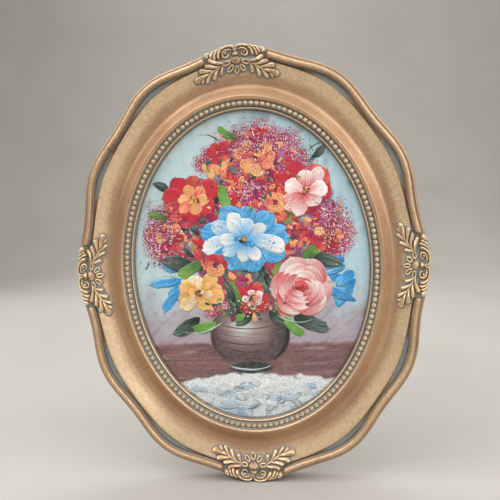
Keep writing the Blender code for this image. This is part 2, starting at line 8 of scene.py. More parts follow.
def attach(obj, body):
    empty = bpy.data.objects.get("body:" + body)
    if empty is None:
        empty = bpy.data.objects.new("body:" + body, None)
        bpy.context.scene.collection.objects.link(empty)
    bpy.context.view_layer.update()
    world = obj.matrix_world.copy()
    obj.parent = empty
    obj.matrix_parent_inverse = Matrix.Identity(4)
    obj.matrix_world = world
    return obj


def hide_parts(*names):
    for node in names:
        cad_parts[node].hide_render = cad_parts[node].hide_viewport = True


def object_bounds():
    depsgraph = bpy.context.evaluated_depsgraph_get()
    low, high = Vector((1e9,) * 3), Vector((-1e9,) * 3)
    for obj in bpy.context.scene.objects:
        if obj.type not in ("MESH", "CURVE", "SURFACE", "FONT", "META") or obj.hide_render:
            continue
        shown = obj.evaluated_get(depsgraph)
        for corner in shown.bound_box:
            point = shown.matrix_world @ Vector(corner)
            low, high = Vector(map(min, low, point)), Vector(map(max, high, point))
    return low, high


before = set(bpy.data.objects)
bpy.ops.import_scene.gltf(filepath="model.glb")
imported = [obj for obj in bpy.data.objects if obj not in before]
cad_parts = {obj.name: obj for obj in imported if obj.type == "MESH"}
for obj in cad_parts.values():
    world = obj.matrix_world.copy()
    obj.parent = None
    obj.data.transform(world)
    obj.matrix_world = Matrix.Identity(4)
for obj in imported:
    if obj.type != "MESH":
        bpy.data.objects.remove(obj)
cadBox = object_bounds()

mm = 0.001
front = -1      # sign along Y: the picture faces -Y


# Small helpers

def deselectAll():
    bpy.ops.object.select_all(action="DESELECT")


def pick(*pieces):
    deselectAll()
    for piece in pieces:
        piece.select_set(True)
    bpy.context.view_layer.objects.active = pieces[0]


def nameIt(name):
    made = bpy.context.object
    made.name = name
    made.data.name = name
    return made


def copyOf(piece):
    # Another object of the same shape, with a mesh of its own
    copy = piece.copy()
    copy.data = piece.data.copy()
    bpy.context.collection.objects.link(copy)
    return copy


def placesOf(piece):
    places = np.empty(len(piece.data.vertices) * 3)
    piece.data.vertices.foreach_get("co", places)
    return places.reshape(-1, 3)


def moveTo(piece, places):
    piece.data.vertices.foreach_set("co", np.asarray(places, dtype=np.float32).ravel())
    piece.data.update()


def faceOut(piece):
    pick(piece)
    bpy.ops.object.mode_set(mode="EDIT")
    bpy.ops.mesh.select_all(action="SELECT")
    bpy.ops.mesh.normals_make_consistent(inside=False)
    bpy.ops.object.mode_set(mode="OBJECT")


def settle(piece):
    pick(piece)
    bpy.ops.object.transform_apply(location=True, rotation=True, scale=True)


def closeEdge(move):
    # The open edge of the active sheet is drawn out by this much and closed with one face
    bpy.ops.object.mode_set(mode="EDIT")
    bpy.ops.mesh.select_all(action="DESELECT")
    bpy.ops.mesh.select_mode(type="EDGE")
    bpy.ops.mesh.select_non_manifold(extend=False, use_wire=False, use_boundary=True,
                                     use_multi_face=False, use_non_contiguous=False, use_verts=False)
    bpy.ops.mesh.extrude_edges_move(TRANSFORM_OT_translate={"value": move})
    bpy.ops.mesh.edge_face_add()
    bpy.ops.object.mode_set(mode="OBJECT")


def tonePoints(piece, name, values, kind="FLOAT", field="value"):
    # A value for each point, which the finishes read by this name
    layer = piece.data.attributes.new(name, kind, "POINT")
    layer.data.foreach_set(field, np.asarray(values, dtype=np.float32).ravel())


def colourPoints(piece, name, shade):
    tonePoints(piece, name, np.column_stack([shade, np.ones(len(shade))]), "FLOAT_COLOR", "color")


def vectorPoints(piece, name, *parts):
    tonePoints(piece, name, np.stack(parts, axis=-1), "FLOAT_VECTOR", "vector")


def ride(piece, slot, *nodes):
    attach(piece, "root")
    if nodes:
        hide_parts(*nodes)


def between(low, high, value):
    return np.clip((value - low) / (high - low), 0.0, 1.0)


def ease(part):
    return part * part * (3 - 2 * part)


def fade(low, high, value):
    return ease(between(low, high, value))


def polar(centre, angle, reach, squash=1.0, lean=0.0):
    # A point on an oval round the centre, with the angles in degrees
    around, tilt = math.radians(angle), math.radians(lean)
    x, z = reach * math.cos(around), reach * squash * math.sin(around)
    return (centre[0] + x * math.cos(tilt) - z * math.sin(tilt),
            centre[1] + x * math.sin(tilt) + z * math.cos(tilt))


# Material building

class Nodes:
    def __init__(self, name):
        self.material = bpy.data.materials.new(name)
        self.material.use_nodes = True
        self.tree = self.material.node_tree
        self.shader = self.tree.nodes["Principled BSDF"]
        self.coords = self.add("ShaderNodeTexCoord").outputs["Object"]

    def add(self, kind, inputs=None, **settings):
        node = self.tree.nodes.new(kind)
        for key, value in settings.items():
            setattr(node, key, value)
        for key, value in (inputs or {}).items():
            self.feed(node.inputs[key], value)
        return node

    def feed(self, socket, value):
        if isinstance(value, bpy.types.NodeSocket):
            self.tree.links.new(value, socket)
        else:
            socket.default_value = value

    def set(self, **inputs):
        for key, value in inputs.items():
            self.feed(self.shader.inputs[key.replace("_", " ")], value)

    def math(self, operation, *values):
        node = self.add("ShaderNodeMath", operation=operation)
        for socket, value in zip(node.inputs, values):
            self.feed(socket, value)
        return node.outputs[0]

    def span(self, value, low, high, start=0.0, end=1.0, smooth=False):
        node = self.add("ShaderNodeMapRange", {"Value": value, "From Min": low, "From Max": high,
                                               "To Min": start, "To Max": end})
        node.interpolation_type = "SMOOTHSTEP" if smooth else "LINEAR"
        return node.outputs[0]

    def mix(self, part, first, second):
        # the colour sockets of this node are inputs 6 and 7 and output 2
        node = self.add("ShaderNodeMix", data_type="RGBA")
        self.feed(node.inputs[0], part)
        for number, value in ((6, first), (7, second)):
            if isinstance(value, str):
                value = linear(value)
            self.feed(node.inputs[number], (*value, 1.0) if isinstance(value, tuple) else value)
        return node.outputs[2]

    def noise(self, scale, detail=3.0, roughness=0.55, stretch=None, distortion=0.0, where=None):
        where = self.coords if where is None else where
        if stretch:
            where = self.add("ShaderNodeMapping", {"Vector": where, "Scale": stretch}).outputs[0]
        return self.add("ShaderNodeTexNoise", {"Vector": where, "Scale": scale, "Detail": detail,
                                               "Roughness": roughness, "Distortion": distortion}).outputs[0]

    def attribute(self, name, colour=False, vector=False):
        node = self.add("ShaderNodeAttribute", attribute_type="GEOMETRY", attribute_name=name)
        return node.outputs["Color" if colour else "Vector" if vector else "Fac"]

    def bump(self, height, distance, strength):
        return self.add("ShaderNodeBump", {"Height": height, "Distance": distance,
                                           "Strength": strength}).outputs[0]


def linear(code):
    # A web colour as the shaders take it
    shades = [int(code[i:i + 2], 16) / 255 for i in (1, 3, 5)]
    return tuple(s / 12.92 if s <= 0.04045 else ((s + 0.055) / 1.055) ** 2.4 for s in shades)


# The oval and the moulding, in the CAD's own frame. "turn" runs anticlockwise from the right, "offset" is
# measured outward from the sight edge, "height" is the distance from the wall plane.

oval = {
    "halfWidth": 95 * mm, "halfHeight": 124 * mm, "centre": -160 * mm,
    "sideWidth": 42.5 * mm, "endWidth": 46.5 * mm,
    "lobes": 12, "lobeSwing": 2.1 * mm, "quarterSwing": 0.6 * mm,
    # right, top, left and bottom: how far the cleft lies from the axis, anticlockwise
    "clefts": (-2.8 * mm, 3.2 * mm, 2.0 * mm, -4.2 * mm),
    "runRadius": 110,        # mm, about the mean radius of the moulding
}


def ovalNormal(turn):
    across, up = np.cos(turn) / oval["halfWidth"], np.sin(turn) / oval["halfHeight"]
    size = np.hypot(across, up)
    return across / size, up / size


def ovalPoint(turn, offset):
    normal = ovalNormal(turn)
    return (oval["halfWidth"] * np.cos(turn) + normal[0] * offset,
            oval["halfHeight"] * np.sin(turn) + normal[1] * offset)


def worldPoint(turn, offset, height):
    x, z = ovalPoint(turn, offset)
    return np.stack([x, front * height + 0 * x, z + oval["centre"]], axis=-1)


def findTurn(x, z):
    # Newton steps towards the nearest point of the sight edge
    turn = np.arctan2(z / oval["halfHeight"], x / oval["halfWidth"])
    for step in range(10):
        tangent = -oval["halfWidth"] * np.sin(turn), oval["halfHeight"] * np.cos(turn)
        speed = np.hypot(*tangent)
        normal = ovalNormal(turn)
        edge = ovalPoint(turn, 0.0)
        away = x - edge[0], z - edge[1]
        offset = away[0] * normal[0] + away[1] * normal[1]
        curve = oval["halfWidth"] * oval["halfHeight"] / speed ** 3
        along = (away[0] * tangent[0] + away[1] * tangent[1]) / speed
        turn = turn + along / (speed * (1 + offset * curve))
    return turn, offset


def mouldingWidth(turn):
    return oval["sideWidth"] + (oval["endWidth"] - oval["sideWidth"]) * np.sin(turn) ** 2


def rimBase(turn):
    wave = oval["lobeSwing"] * np.cos(oval["lobes"] * turn) - oval["quarterSwing"] * np.cos(4 * turn)
    return mouldingWidth(turn) + wave


def fromCleft(turn):
    x, z = ovalPoint(turn, rimBase(turn))
    right, top, left, bottom = oval["clefts"]
    level = np.where(x > 0, z - right, z + left)
    upright = np.where(z > 0, x + top, x - bottom)
    return np.minimum(np.abs(level), np.abs(upright))


def cleftTurn(quarter):
    near = quarter * math.pi / 2 + np.linspace(-0.1, 0.1, 4001)
    return float(near[np.argmin(fromCleft(near))])


def cleftPlace(quarter):
    # The cleft's place on the rim, and the way outward from it
    turn = np.array(cleftTurn(quarter))
    return [float(v) for v in ovalPoint(turn, rimBase(turn))], [float(v) for v in ovalNormal(turn)]


def markRun(piece, turn, offset):
    # Where each point is along the moulding (on a circle, so that it has no seam) and across it, in mm
    radius = oval["runRadius"]
    vectorPoints(piece, "run", radius * np.cos(turn), radius * np.sin(turn), offset / mm)


# Frame ring

ring = {
    "cleftHalfWidth": 2.0 * mm, "cleftDepth": 1.4 * mm,
    "carvedHalf": 24.8 * mm,        # half length of the rim that each ornament takes the place of
    "rimEndRound": 2.4 * mm,        # length over which the rim's cut end rounds over
    "rimWidth": 7.6 * mm, "stepWidth": 2.4 * mm, "rimHeight": 22.4 * mm,
    "stepHeight": 18.2 * mm, "grooveFloor": 16.6 * mm,
    "grooveInset": 10.7 * mm, "grooveSwing": 0.6 * mm, "grooveEdge": 18.2 * mm,
    "lip": (9.3 * mm, 16.75 * mm),
    "bendStart": 15.0 * mm, "bendStartHeight": 12.75 * mm,      # the cove's rounded valley
    "bendEnd": 21.6 * mm, "bendEndHeight": 12.25 * mm,
    "rebate": (7.0 * mm, 7.0 * mm), "backInner": 8 * mm,
    "lobeWash": (0.12, 0.7),        # the groove's blue wash at its least, and how much more the lobes leave
    "carvingWash": (0.85, 28 * mm, 37 * mm),    # beside an ornament: how much, full to here, gone from there
    "hiddenTone": 0.5,              # hollowness of the back and the rebate
    "stations": 480, "crowdAtCut": 5.0, "crowdAtCleft": 3.0,
    "shadeAngle": 40,
}

# Offset, height and hollowness of the inner mouldings, in mm: fillet, bead channel, small ledge and lip. The
# fillet's top and the small ledge go below zero, rubbed pale with painted highlights
innerLine = (
    (0.0, 9.9, 0.9), (0.08, 10.5, 0.4), (0.25, 11.0, 0.0), (0.55, 11.45, -0.25), (0.95, 11.65, -0.4),
    (1.35, 11.55, -0.3), (1.65, 11.25, 0.2), (1.85, 10.95, 1.0), (2.05, 10.85, 1.1), (2.4, 10.9, 0.9),
    (2.8, 11.0, 0.8), (3.6, 11.4, 0.8), (4.6, 12.1, 0.8), (5.6, 12.9, 0.75), (6.2, 13.4, 0.75),
    (6.55, 14.0, 0.95), (6.75, 14.6, 0.8), (6.95, 15.25, 0.45), (7.15, 15.8, 0.05), (7.4, 16.2, -0.3),
    (7.7, 16.5, -0.2), (8.1, 16.7, 0.05), (8.5, 16.8, 0.1), (8.9, 16.8, 0.1),
)

# The rest of the section, in mm
outerLine = {
    "coveParts": 25, "coveTop": (0.35, 0.12),    # the cove ends this far inside and below the groove's edge
    # the groove's inner wall: out from its edge, down, and share of the wash
    "wall": ((0.1, 0.0, 0.0), (0.35, 0.25, 0.4), (0.55, 0.75, 1.1), (0.85, 1.2, 1.1)),
    # its bed: share of the way to the rim, down, and wash added
    "bed": ((0.4, 1.5, 0.0), (0.8, 1.6, 0.15)),
    "rimAngles": (180, 170, 158, 144, 128, 112, 96, 80, 64, 48, 34, 20, 8, 0),
    # the small step outside the rim: in from the edge, down from the step's level, hollowness
    "step": ((2.32, 0.25, 0.85), (2.1, 0.05, 0.4), (1.6, -0.1, 0.25), (1.0, -0.05, 0.15),
             (0.45, 0.2, -0.05), (0.12, 0.6, 0.1), (0.0, 1.2, 0.2)),
    # the side: height, in from the edge, hollowness
    "side": ((14.0, 0.0, 0.25), (9.0, 0.0, 0.2), (4.0, 0.0, 0.3), (0.5, 0.0, 0.4), (0.0, 0.5, 0.45)),
    "backParts": (0.25, 0.5, 0.75),              # shares of the way from the side to the rebate
}


def coveHeight(offset, top):
    # Straight down from the lip, round through the valley, and straight up to the groove's edge
    lip, start, end = ring["lip"], ring["bendStart"], ring["bendEnd"]
    rise = (top[1] - ring["bendEndHeight"]) / (top[0] - end)
    fall = (ring["bendStartHeight"] - lip[1]) / (start - lip[0])
    down = lip[1] + fall * (offset - lip[0])
    part = between(start, end, offset)
    bend = ring["bendStartHeight"] + (end - start) * (fall * part + (rise - fall) * part ** 2 / 2)
    atEnd = ring["bendStartHeight"] + (end - start) * (fall + rise) / 2
    up = atEnd + (top[1] - atEnd) * (offset - end) / (top[0] - end)
    return np.where(offset < start, down, np.where(offset < end, bend, up))


def coveTone(part):
    # The slope below the lip keeps more of the glaze, the slope up to the groove is rubbed paler
    return 0.1 * math.exp(-(part / 0.06) ** 2) - 0.24 * float(fade(0.5, 0.78, part))


def rimWashAndPaintedLight(angle):
    # Washed at both feet and rubbed pale on top, with a painted highlight along the crest; the groove's side
    # stays darker, as wash and painted shade
    steep = math.sin(angle)
    low, high = (0.14, 0.74) if angle > math.pi / 2 else (0.0, 0.6)
    return 1.2 - 1.18 * fade(low, high, steep) - 0.2 * between(0.5, 1.0, steep) ** 2


def rimEdge(turn):
    notch = np.maximum(0.0, 1 - fromCleft(turn) / ring["cleftHalfWidth"])
    return rimBase(turn) - ring["cleftDepth"] * notch


def frontLines(turn, withRim=True):
    # The front's section at these turns: a list of (offset, height, hollowness), each with one value a turn
    edge = rimEdge(turn)
    still = 0 * turn
    lobes = np.cos(oval["lobes"] * turn)
    lines = [(o * mm + still, h * mm + still, hollow + still) for o, h, hollow in innerLine]
    grooveEdge = mouldingWidth(turn) - ring["grooveInset"] + ring["grooveSwing"] * lobes
    inside, below = outerLine["coveTop"]
    top = (grooveEdge - inside * mm, ring["grooveEdge"] - below * mm)
    for part in np.linspace(0, 1, outerLine["coveParts"]):
        offset = ring["lip"][0] + (top[0] - ring["lip"][0]) * part
        lines.append((offset, coveHeight(offset, top), coveTone(part) + still))
    # the groove keeps its blue wash where the lobes leave it wide, and beside the ornaments
    least, more = ring["lobeWash"]
    most, full, gone = ring["carvingWash"]
    wash = np.maximum(least + more * fade(-0.45, 0.6, lobes),
                      most * fade(gone, full, fromCleft(turn)))
    for out, down, share in outerLine["wall"]:
        lines.append((grooveEdge + out * mm, ring["grooveEdge"] - down * mm + still, wash * share))
    inner, outer = edge - ring["rimWidth"], edge - ring["stepWidth"]
    floor = grooveEdge + outerLine["wall"][-1][0] * mm
    for part, down, extra in outerLine["bed"]:
        lines.append((floor + (inner - floor) * part, ring["grooveEdge"] - down * mm + still, wash + extra))
    # the round rim rises from its two feet, and rounds over where an ornament takes its place
    away = fromCleft(turn) - ring["carvedHalf"]
    share = np.sqrt(1 - (1 - between(0.0, ring["rimEndRound"], away)) ** 2) if withRim else still
    middle, half = (inner + outer) / 2, (outer - inner) / 2
    for angle in np.radians(outerLine["rimAngles"]):
        foot = ring["grooveFloor"] + (ring["stepHeight"] - ring["grooveFloor"]) * (1 + math.cos(angle)) / 2
        reach = 0.45 + 0.55 * share
        height = foot + (ring["rimHeight"] - foot) * share * math.sin(angle) ** 0.85
        lines.append((middle + half * reach * math.cos(angle), height,
                      rimWashAndPaintedLight(angle) * share + 0.8 * (1 - share)))
    for inside, down, hollow in outerLine["step"]:
        lines.append((edge - inside * mm, ring["stepHeight"] - down * mm + still, hollow + still))
    return lines


def stationTurns():
    # Even turns, with more of them where the rim is cut and at the clefts
    fine = np.linspace(0, 2 * math.pi, 20001)
    away = fromCleft(fine)
    crowd = 1.0 + ring["crowdAtCut"] * np.exp(-((away - ring["carvedHalf"] - 1.0 * mm) / (1.6 * mm)) ** 2)
    crowd += ring["crowdAtCleft"] * np.exp(-(away / (2.5 * mm)) ** 2)
    total = np.concatenate([[0.0], np.cumsum((crowd[1:] + crowd[:-1]) / 2)])
    count = ring["stations"]
    return np.interp(np.arange(count) / count * total[-1], total, fine)


def makeRing():
    turns = stationTurns()
    edge = rimEdge(turns)
    lines = frontLines(turns)
    still = 0 * turns
    hidden = ring["hiddenTone"] + still
    for height, inset, hollow in outerLine["side"]:
        lines.append((edge - inset * mm, height * mm + still, hollow + still))
    for part in outerLine["backParts"]:
        lines.append((edge + (ring["backInner"] - edge) * part, still, hidden))
    out, deep = ring["rebate"]
    for offset, height in ((out + 0.3 * mm, 0.0), (out, 0.3 * mm), (out, deep / 2), (out, deep),
                           (out / 2, deep), (0.1 * mm, deep), (0.0, deep + 0.2 * mm), (0.0, 8.6 * mm)):
        lines.append((offset + still, height + still, hidden))
    # a torus with half the stations and lines, cut once each way, so that every vertex has its own of both
    wide, thin = 0.13, 0.02
    deselectAll()
    bpy.ops.mesh.primitive_torus_add(major_segments=len(turns) // 2, minor_segments=len(lines) // 2,
                                     major_radius=wide, minor_radius=thin)
    made = nameIt("moulded_ring")
    bpy.ops.object.mode_set(mode="EDIT")
    bpy.ops.mesh.select_all(action="SELECT")
    bpy.ops.mesh.subdivide(number_cuts=1)
    bpy.ops.object.mode_set(mode="OBJECT")
    spot = placesOf(made)
    away = np.hypot(spot[:, 0], spot[:, 1])

    def numberOf(angle, count):
        return np.rint(angle / (2 * math.pi) * count).astype(int) % count

    station = numberOf(np.arctan2(spot[:, 1], spot[:, 0]), len(turns))
    line = numberOf(np.arctan2(spot[:, 2], away - wide), len(lines))
    grid = np.stack([worldPoint(turns, offset, height) for offset, height, hollow in lines], axis=1)
    offsets, hollows = (np.stack([entry[k] for entry in lines], axis=1) for k in (0, 2))
    moveTo(made, grid[station, line])
    tonePoints(made, "hollow", hollows[station, line])
    markRun(made, turns[station], offsets[station, line])
    faceOut(made)
    return made


fixings = {
    # half width, levels above the opening, and reach into the back, of the hanger's recess and nail pocket
    "recess": (27 * mm, (17 * mm, 27 * mm), (-1 * mm, 2 * mm)),
    "pocket": (17 * mm, (10.5 * mm, 24 * mm), (-1.3 * mm, 6.5 * mm)),
    "nailAcross": 22 * mm, "nailHole": 1.0 * mm, "nailDepth": 6.6 * mm,
    "pointTurns": (35, 145, 215, 325), "pointHalf": 4.3 * mm, "pointOut": (5.0 * mm, 13.9 * mm),
    "pointHeights": (2.5 * mm, 3.7 * mm),
}


def levelAbove(offset):
    # This far above the top of the opening
    return oval["centre"] + oval["halfHeight"] + offset


def addCutBlock(xRange, heights, zRange):
    middle = [(a + b) / 2 for a, b in (xRange, heights, zRange)]
    bpy.ops.mesh.primitive_cube_add(size=1.0, location=(middle[0], front * middle[1], middle[2]))
    made = bpy.context.object
    made.scale = (xRange[1] - xRange[0], heights[1] - heights[0], zRange[1] - zRange[0])
    return made


def cutBack(target):
    cutters = []
    for half, offsets, heights in (fixings["recess"], fixings["pocket"]):
        low, high = (levelAbove(offset) for offset in offsets)
        cutters.append(addCutBlock((-half, half), heights, (low, high)))
    nailLevel = levelAbove(sum(fixings["recess"][1]) / 2)
    for side in (-1, 1):
        bpy.ops.mesh.primitive_cylinder_add(
            vertices=24, radius=fixings["nailHole"], depth=fixings["nailDepth"] + 1 * mm,
            location=(side * fixings["nailAcross"], front * (fixings["nailDepth"] - 1 * mm) / 2, nailLevel),
            rotation=(math.pi / 2, 0, 0))
        cutters.append(bpy.context.object)
    half = fixings["pointHalf"]
    for turn in np.radians(fixings["pointTurns"]):
        slot = addCutBlock(fixings["pointOut"], fixings["pointHeights"], (-half, half))
        settle(slot)
        normal, edge = ovalNormal(turn), ovalPoint(turn, 0.0)
        spin = Matrix.Rotation(-math.atan2(normal[1], normal[0]), 4, "Y")
        slot.data.transform(Matrix.Translation((edge[0], 0, edge[1] + oval["centre"])) @ spin)
        cutters.append(slot)
    for number, cutter in enumerate(cutters):
        settle(cutter)
        pick(target)
        step = target.modifiers.new(f"cut {number}", "BOOLEAN")
        step.object = cutter
        step.operation = "DIFFERENCE"
        step.solver = "EXACT"
        bpy.ops.object.modifier_apply(modifier=step.name)
        bpy.data.objects.remove(cutter)


# Carved ornaments, drawn flat: "across" runs along the rim from the cleft, "inward" towards the painting

ornament = {
    "halfLength": 36.0 * mm, "depth": 30.0 * mm, "columns": 280, "rows": 118,
    "dip": 0.6 * mm,               # how far the patch lies under the ring where nothing is carved
    "inset": 0.12 * mm,            # how far inside the rim's edge the patch ends
    "washLift": 0.3 * mm,          # the paint-filled ground between the carved shapes
    "fillNear": (0.07, 0.24),      # it starts, and is full, where this share of the surroundings is carved
    "fillReach": (3.2, 2.2),       # it is gone, and full, this far from the carving, in mm
    "groundBlur": 60, "cavityBlur": 9,
    "crest": (0.06, 1.9),          # hollowness of flat carving, and how much the cavities add; below zero on the crests, which paints them pale as rubbing and painted highlight
    "footWash": (0.76, 0.26),      # wash on the filled ground at its least, and how much more in patches
    "sway": 0.35,                  # unevenness of the hand-cut shapes, in mm
    # right, top, left and bottom: share of its inward reach that each keeps, and how much blue-grey paint
    # is left over its middle
    "squeeze": (0.86, 0.95, 0.86, 0.95), "glaze": (0.1, 0.4, 0.15, 0.45),
    "leafRise": 3.0, "smallRise": 2.4, "scrollRise": 3.3, "bossRise": 4.4,
    "floor": 9.0 * mm,             # where the patch's closed underside lies, inside the ring
}


def edgeDrop(quarter, across):
    # How far the rim's edge curves back from the cleft's level, this far along it
    cleft, outward = cleftPlace(quarter)
    across = np.asarray(across, dtype=float)
    x = cleft[0] - outward[1] * across
    z = cleft[1] + outward[0] * across
    drop = 0 * across
    for step in range(8):
        where, offset = findTurn(x - outward[0] * drop, z - outward[1] * drop)
        drop = drop + offset - rimBase(where)
    return drop


def flatCarving(quarter):
    # The shapes of one ornament as lines of (across, inward, radius) in mm, with the rise of each
    shapes = []
    leaf, small, scroll = ornament["leafRise"], ornament["smallRise"], ornament["scrollRise"]
    for side in (-1, 1):
        def drop(across):
            return float(edgeDrop(quarter, side * across * mm)) / mm

        def add(rise, *points):
            shapes.append(("line", rise, [(side * a, i, r) for a, i, r in points], None))

        # stem and its lobes: three towards the rim, one at the tip, four towards the painting
        add(small, (8.0, 13.2, 0.6), (13.0, 16.4, 0.85), (17.8, 19.6, 0.95), (22.6, 22.4, 1.0))
        add(leaf, (21.0, 21.7, 0.8), (25.8, 23.2, 1.75), (29.4, 24.6, 2.5), (30.8, 25.1, 2.45))
        add(leaf, (18.4, 19.2, 0.6), (22.6, 19.5, 1.35), (26.2, 19.2, 1.95), (27.6, 18.9, 2.0))
        add(leaf, (14.2, 16.4, 0.6), (18.4, 16.6, 1.25), (21.9, 15.8, 1.75), (23.2, 15.4, 1.8))
        add(leaf, (10.4, 14.0, 0.7), (14.2, 13.5, 1.4), (18.2, 12.0, 2.0), (19.8, 11.2, 2.0))
        add(small, (10.0, 15.0, 0.6), (11.1, 17.9, 1.2), (11.7, 20.6, 1.65), (11.8, 21.4, 1.6))
        add(small, (14.4, 17.8, 0.6), (16.2, 20.8, 1.25), (17.4, 23.8, 1.7), (17.6, 24.7, 1.65))
        add(small, (19.2, 21.0, 0.6), (21.4, 23.8, 1.2), (22.9, 26.4, 1.55), (23.2, 27.1, 1.5))
        add(small, (24.0, 23.2, 0.6), (26.2, 25.6, 1.05), (27.3, 27.2, 1.1))
        # rim scroll: strands that start by the cleft or the rim and curl inward, each to a round head
        for strand in (
            ((0.9, 4.6, 0.6), (1.2, 2.4, 0.95), (3.2, 1.3, 1.1), (6.6, 1.1, 1.15), (9.9, 1.7, 1.15),
             (12.4, 3.6, 1.15), (13.3, 6.0, 1.35), (13.3, 6.8, 1.3)),
            ((2.9, 3.9, 0.6), (5.4, 3.3, 0.85), (8.0, 3.9, 0.95), (9.5, 5.6, 0.95), (9.4, 7.6, 0.9),
             (7.8, 8.8, 0.85), (5.8, 8.5, 0.8), (4.9, 7.0, 0.75)),
            ((11.2, 1.2, 0.7), (14.0, 2.0, 1.05), (15.9, 4.0, 1.1), (16.5, 6.2, 1.3), (16.5, 6.8, 1.25)),
            ((14.8, 1.2, 0.7), (17.0, 1.8, 1.0), (18.5, 3.6, 1.15), (18.8, 5.0, 1.2)),
            ((20.4, 2.0, 1.5), (21.2, 2.5, 2.0), (21.9, 3.2, 2.0)),
        ):
            add(scroll, *[(a, i + drop(a), r) for a, i, r in strand])
        shapes.append(("dome", small, [(side * 7.2, 6.3, 0.0)], (1.15, 1.15)))
        # loop petals round the boss
        for heading in (10, 52, 90)[:3 if side > 0 else 2]:
            middle = polar((0.0, 13.1), heading, 7.6, 0.92)
            loop = []
            for step in range(13):
                x, z = polar((0.0, 0.0), 30 * step, 2.7, 0.52)
                loop.append(polar(middle, math.degrees(math.atan2(z, x)) + heading, math.hypot(x, z)))
            add(small * 1.15, *[(a, i, 0.72) for a, i in loop])
    shapes.append(("line", small, [(0.0, 3.8, 0.7), (0.0, 5.8, 0.9)], None))
    shapes.append(("dome", leaf, [(0.0, 7.7, 0.0)], (2.7, 1.6)))
    shapes.append(("dome", ornament["bossRise"], [(0.0, 13.0, 0.0)], (3.8, 3.0)))
    return shapes


def lineField(points, across, inward):
    # Distance to a line as a share of its own radius there, and the radius
    best = np.full(across.shape, 1e9)
    radius = np.zeros(across.shape)
    for (ax, ay, ar), (bx, by, br) in zip(points, points[1:]):
        dx, dy = bx - ax, by - ay
        part = np.clip(((across - ax) * dx + (inward - ay) * dy) / (dx * dx + dy * dy), 0, 1)
        width = ar + (br - ar) * part
        away = np.hypot(across - ax - dx * part, inward - ay - dy * part)
        nearer = away / width < best
        best = np.where(nearer, away / width, best)
        radius = np.where(nearer, width, radius)
    return best, radius


def carve(shapes, across, inward):
    # Relief in mm over the plain moulding, and the distance in mm outside the nearest shape
    relief = np.zeros(across.shape)
    outside = np.full(across.shape, 1e9)
    for kind, rise, points, extra in shapes:
        if kind == "dome":
            share = np.hypot((across - points[0][0]) / extra[0], (inward - points[0][1]) / extra[1])
            radius = min(extra) + 0 * share
        else:
            share, radius = lineField(points, across, inward)
        dome = rise * np.clip(radius / 1.3, 0.55, 1.1) * np.sqrt(np.clip(1 - share ** 2, 0, 1))
        relief = np.maximum(relief, dome)
        outside = np.minimum(outside, (share - 1) * radius)
    return relief, outside


def blurred(grid, reach):
    # Soft blur of a grid, by repeated three-point averages along both ways
    for step in range(reach):
        for axis in (0, 1):
            edge = np.take(grid, [0], axis), np.take(grid, [-1], axis)
            wide = np.concatenate([edge[0], grid, edge[1]], axis)
            count = grid.shape[axis]
            low, mid, high = (np.take(wide, range(k, k + count), axis) for k in range(3))
            grid = (low + 2 * mid + high) / 4
    return grid


def plainHeight(turn, offset):
    # Height of the ring's front here, as if the rim's round bead went away
    lines = frontLines(turn, withRim=False)
    height = lines[0][1].copy()
    for (start, low, _), (end, high, _) in zip(lines, lines[1:]):
        part = between(0.0, 1.0, (offset - start) / np.maximum(end - start, 1e-9))
        height = np.where(offset > start, low + (high - low) * part, height)
    return height


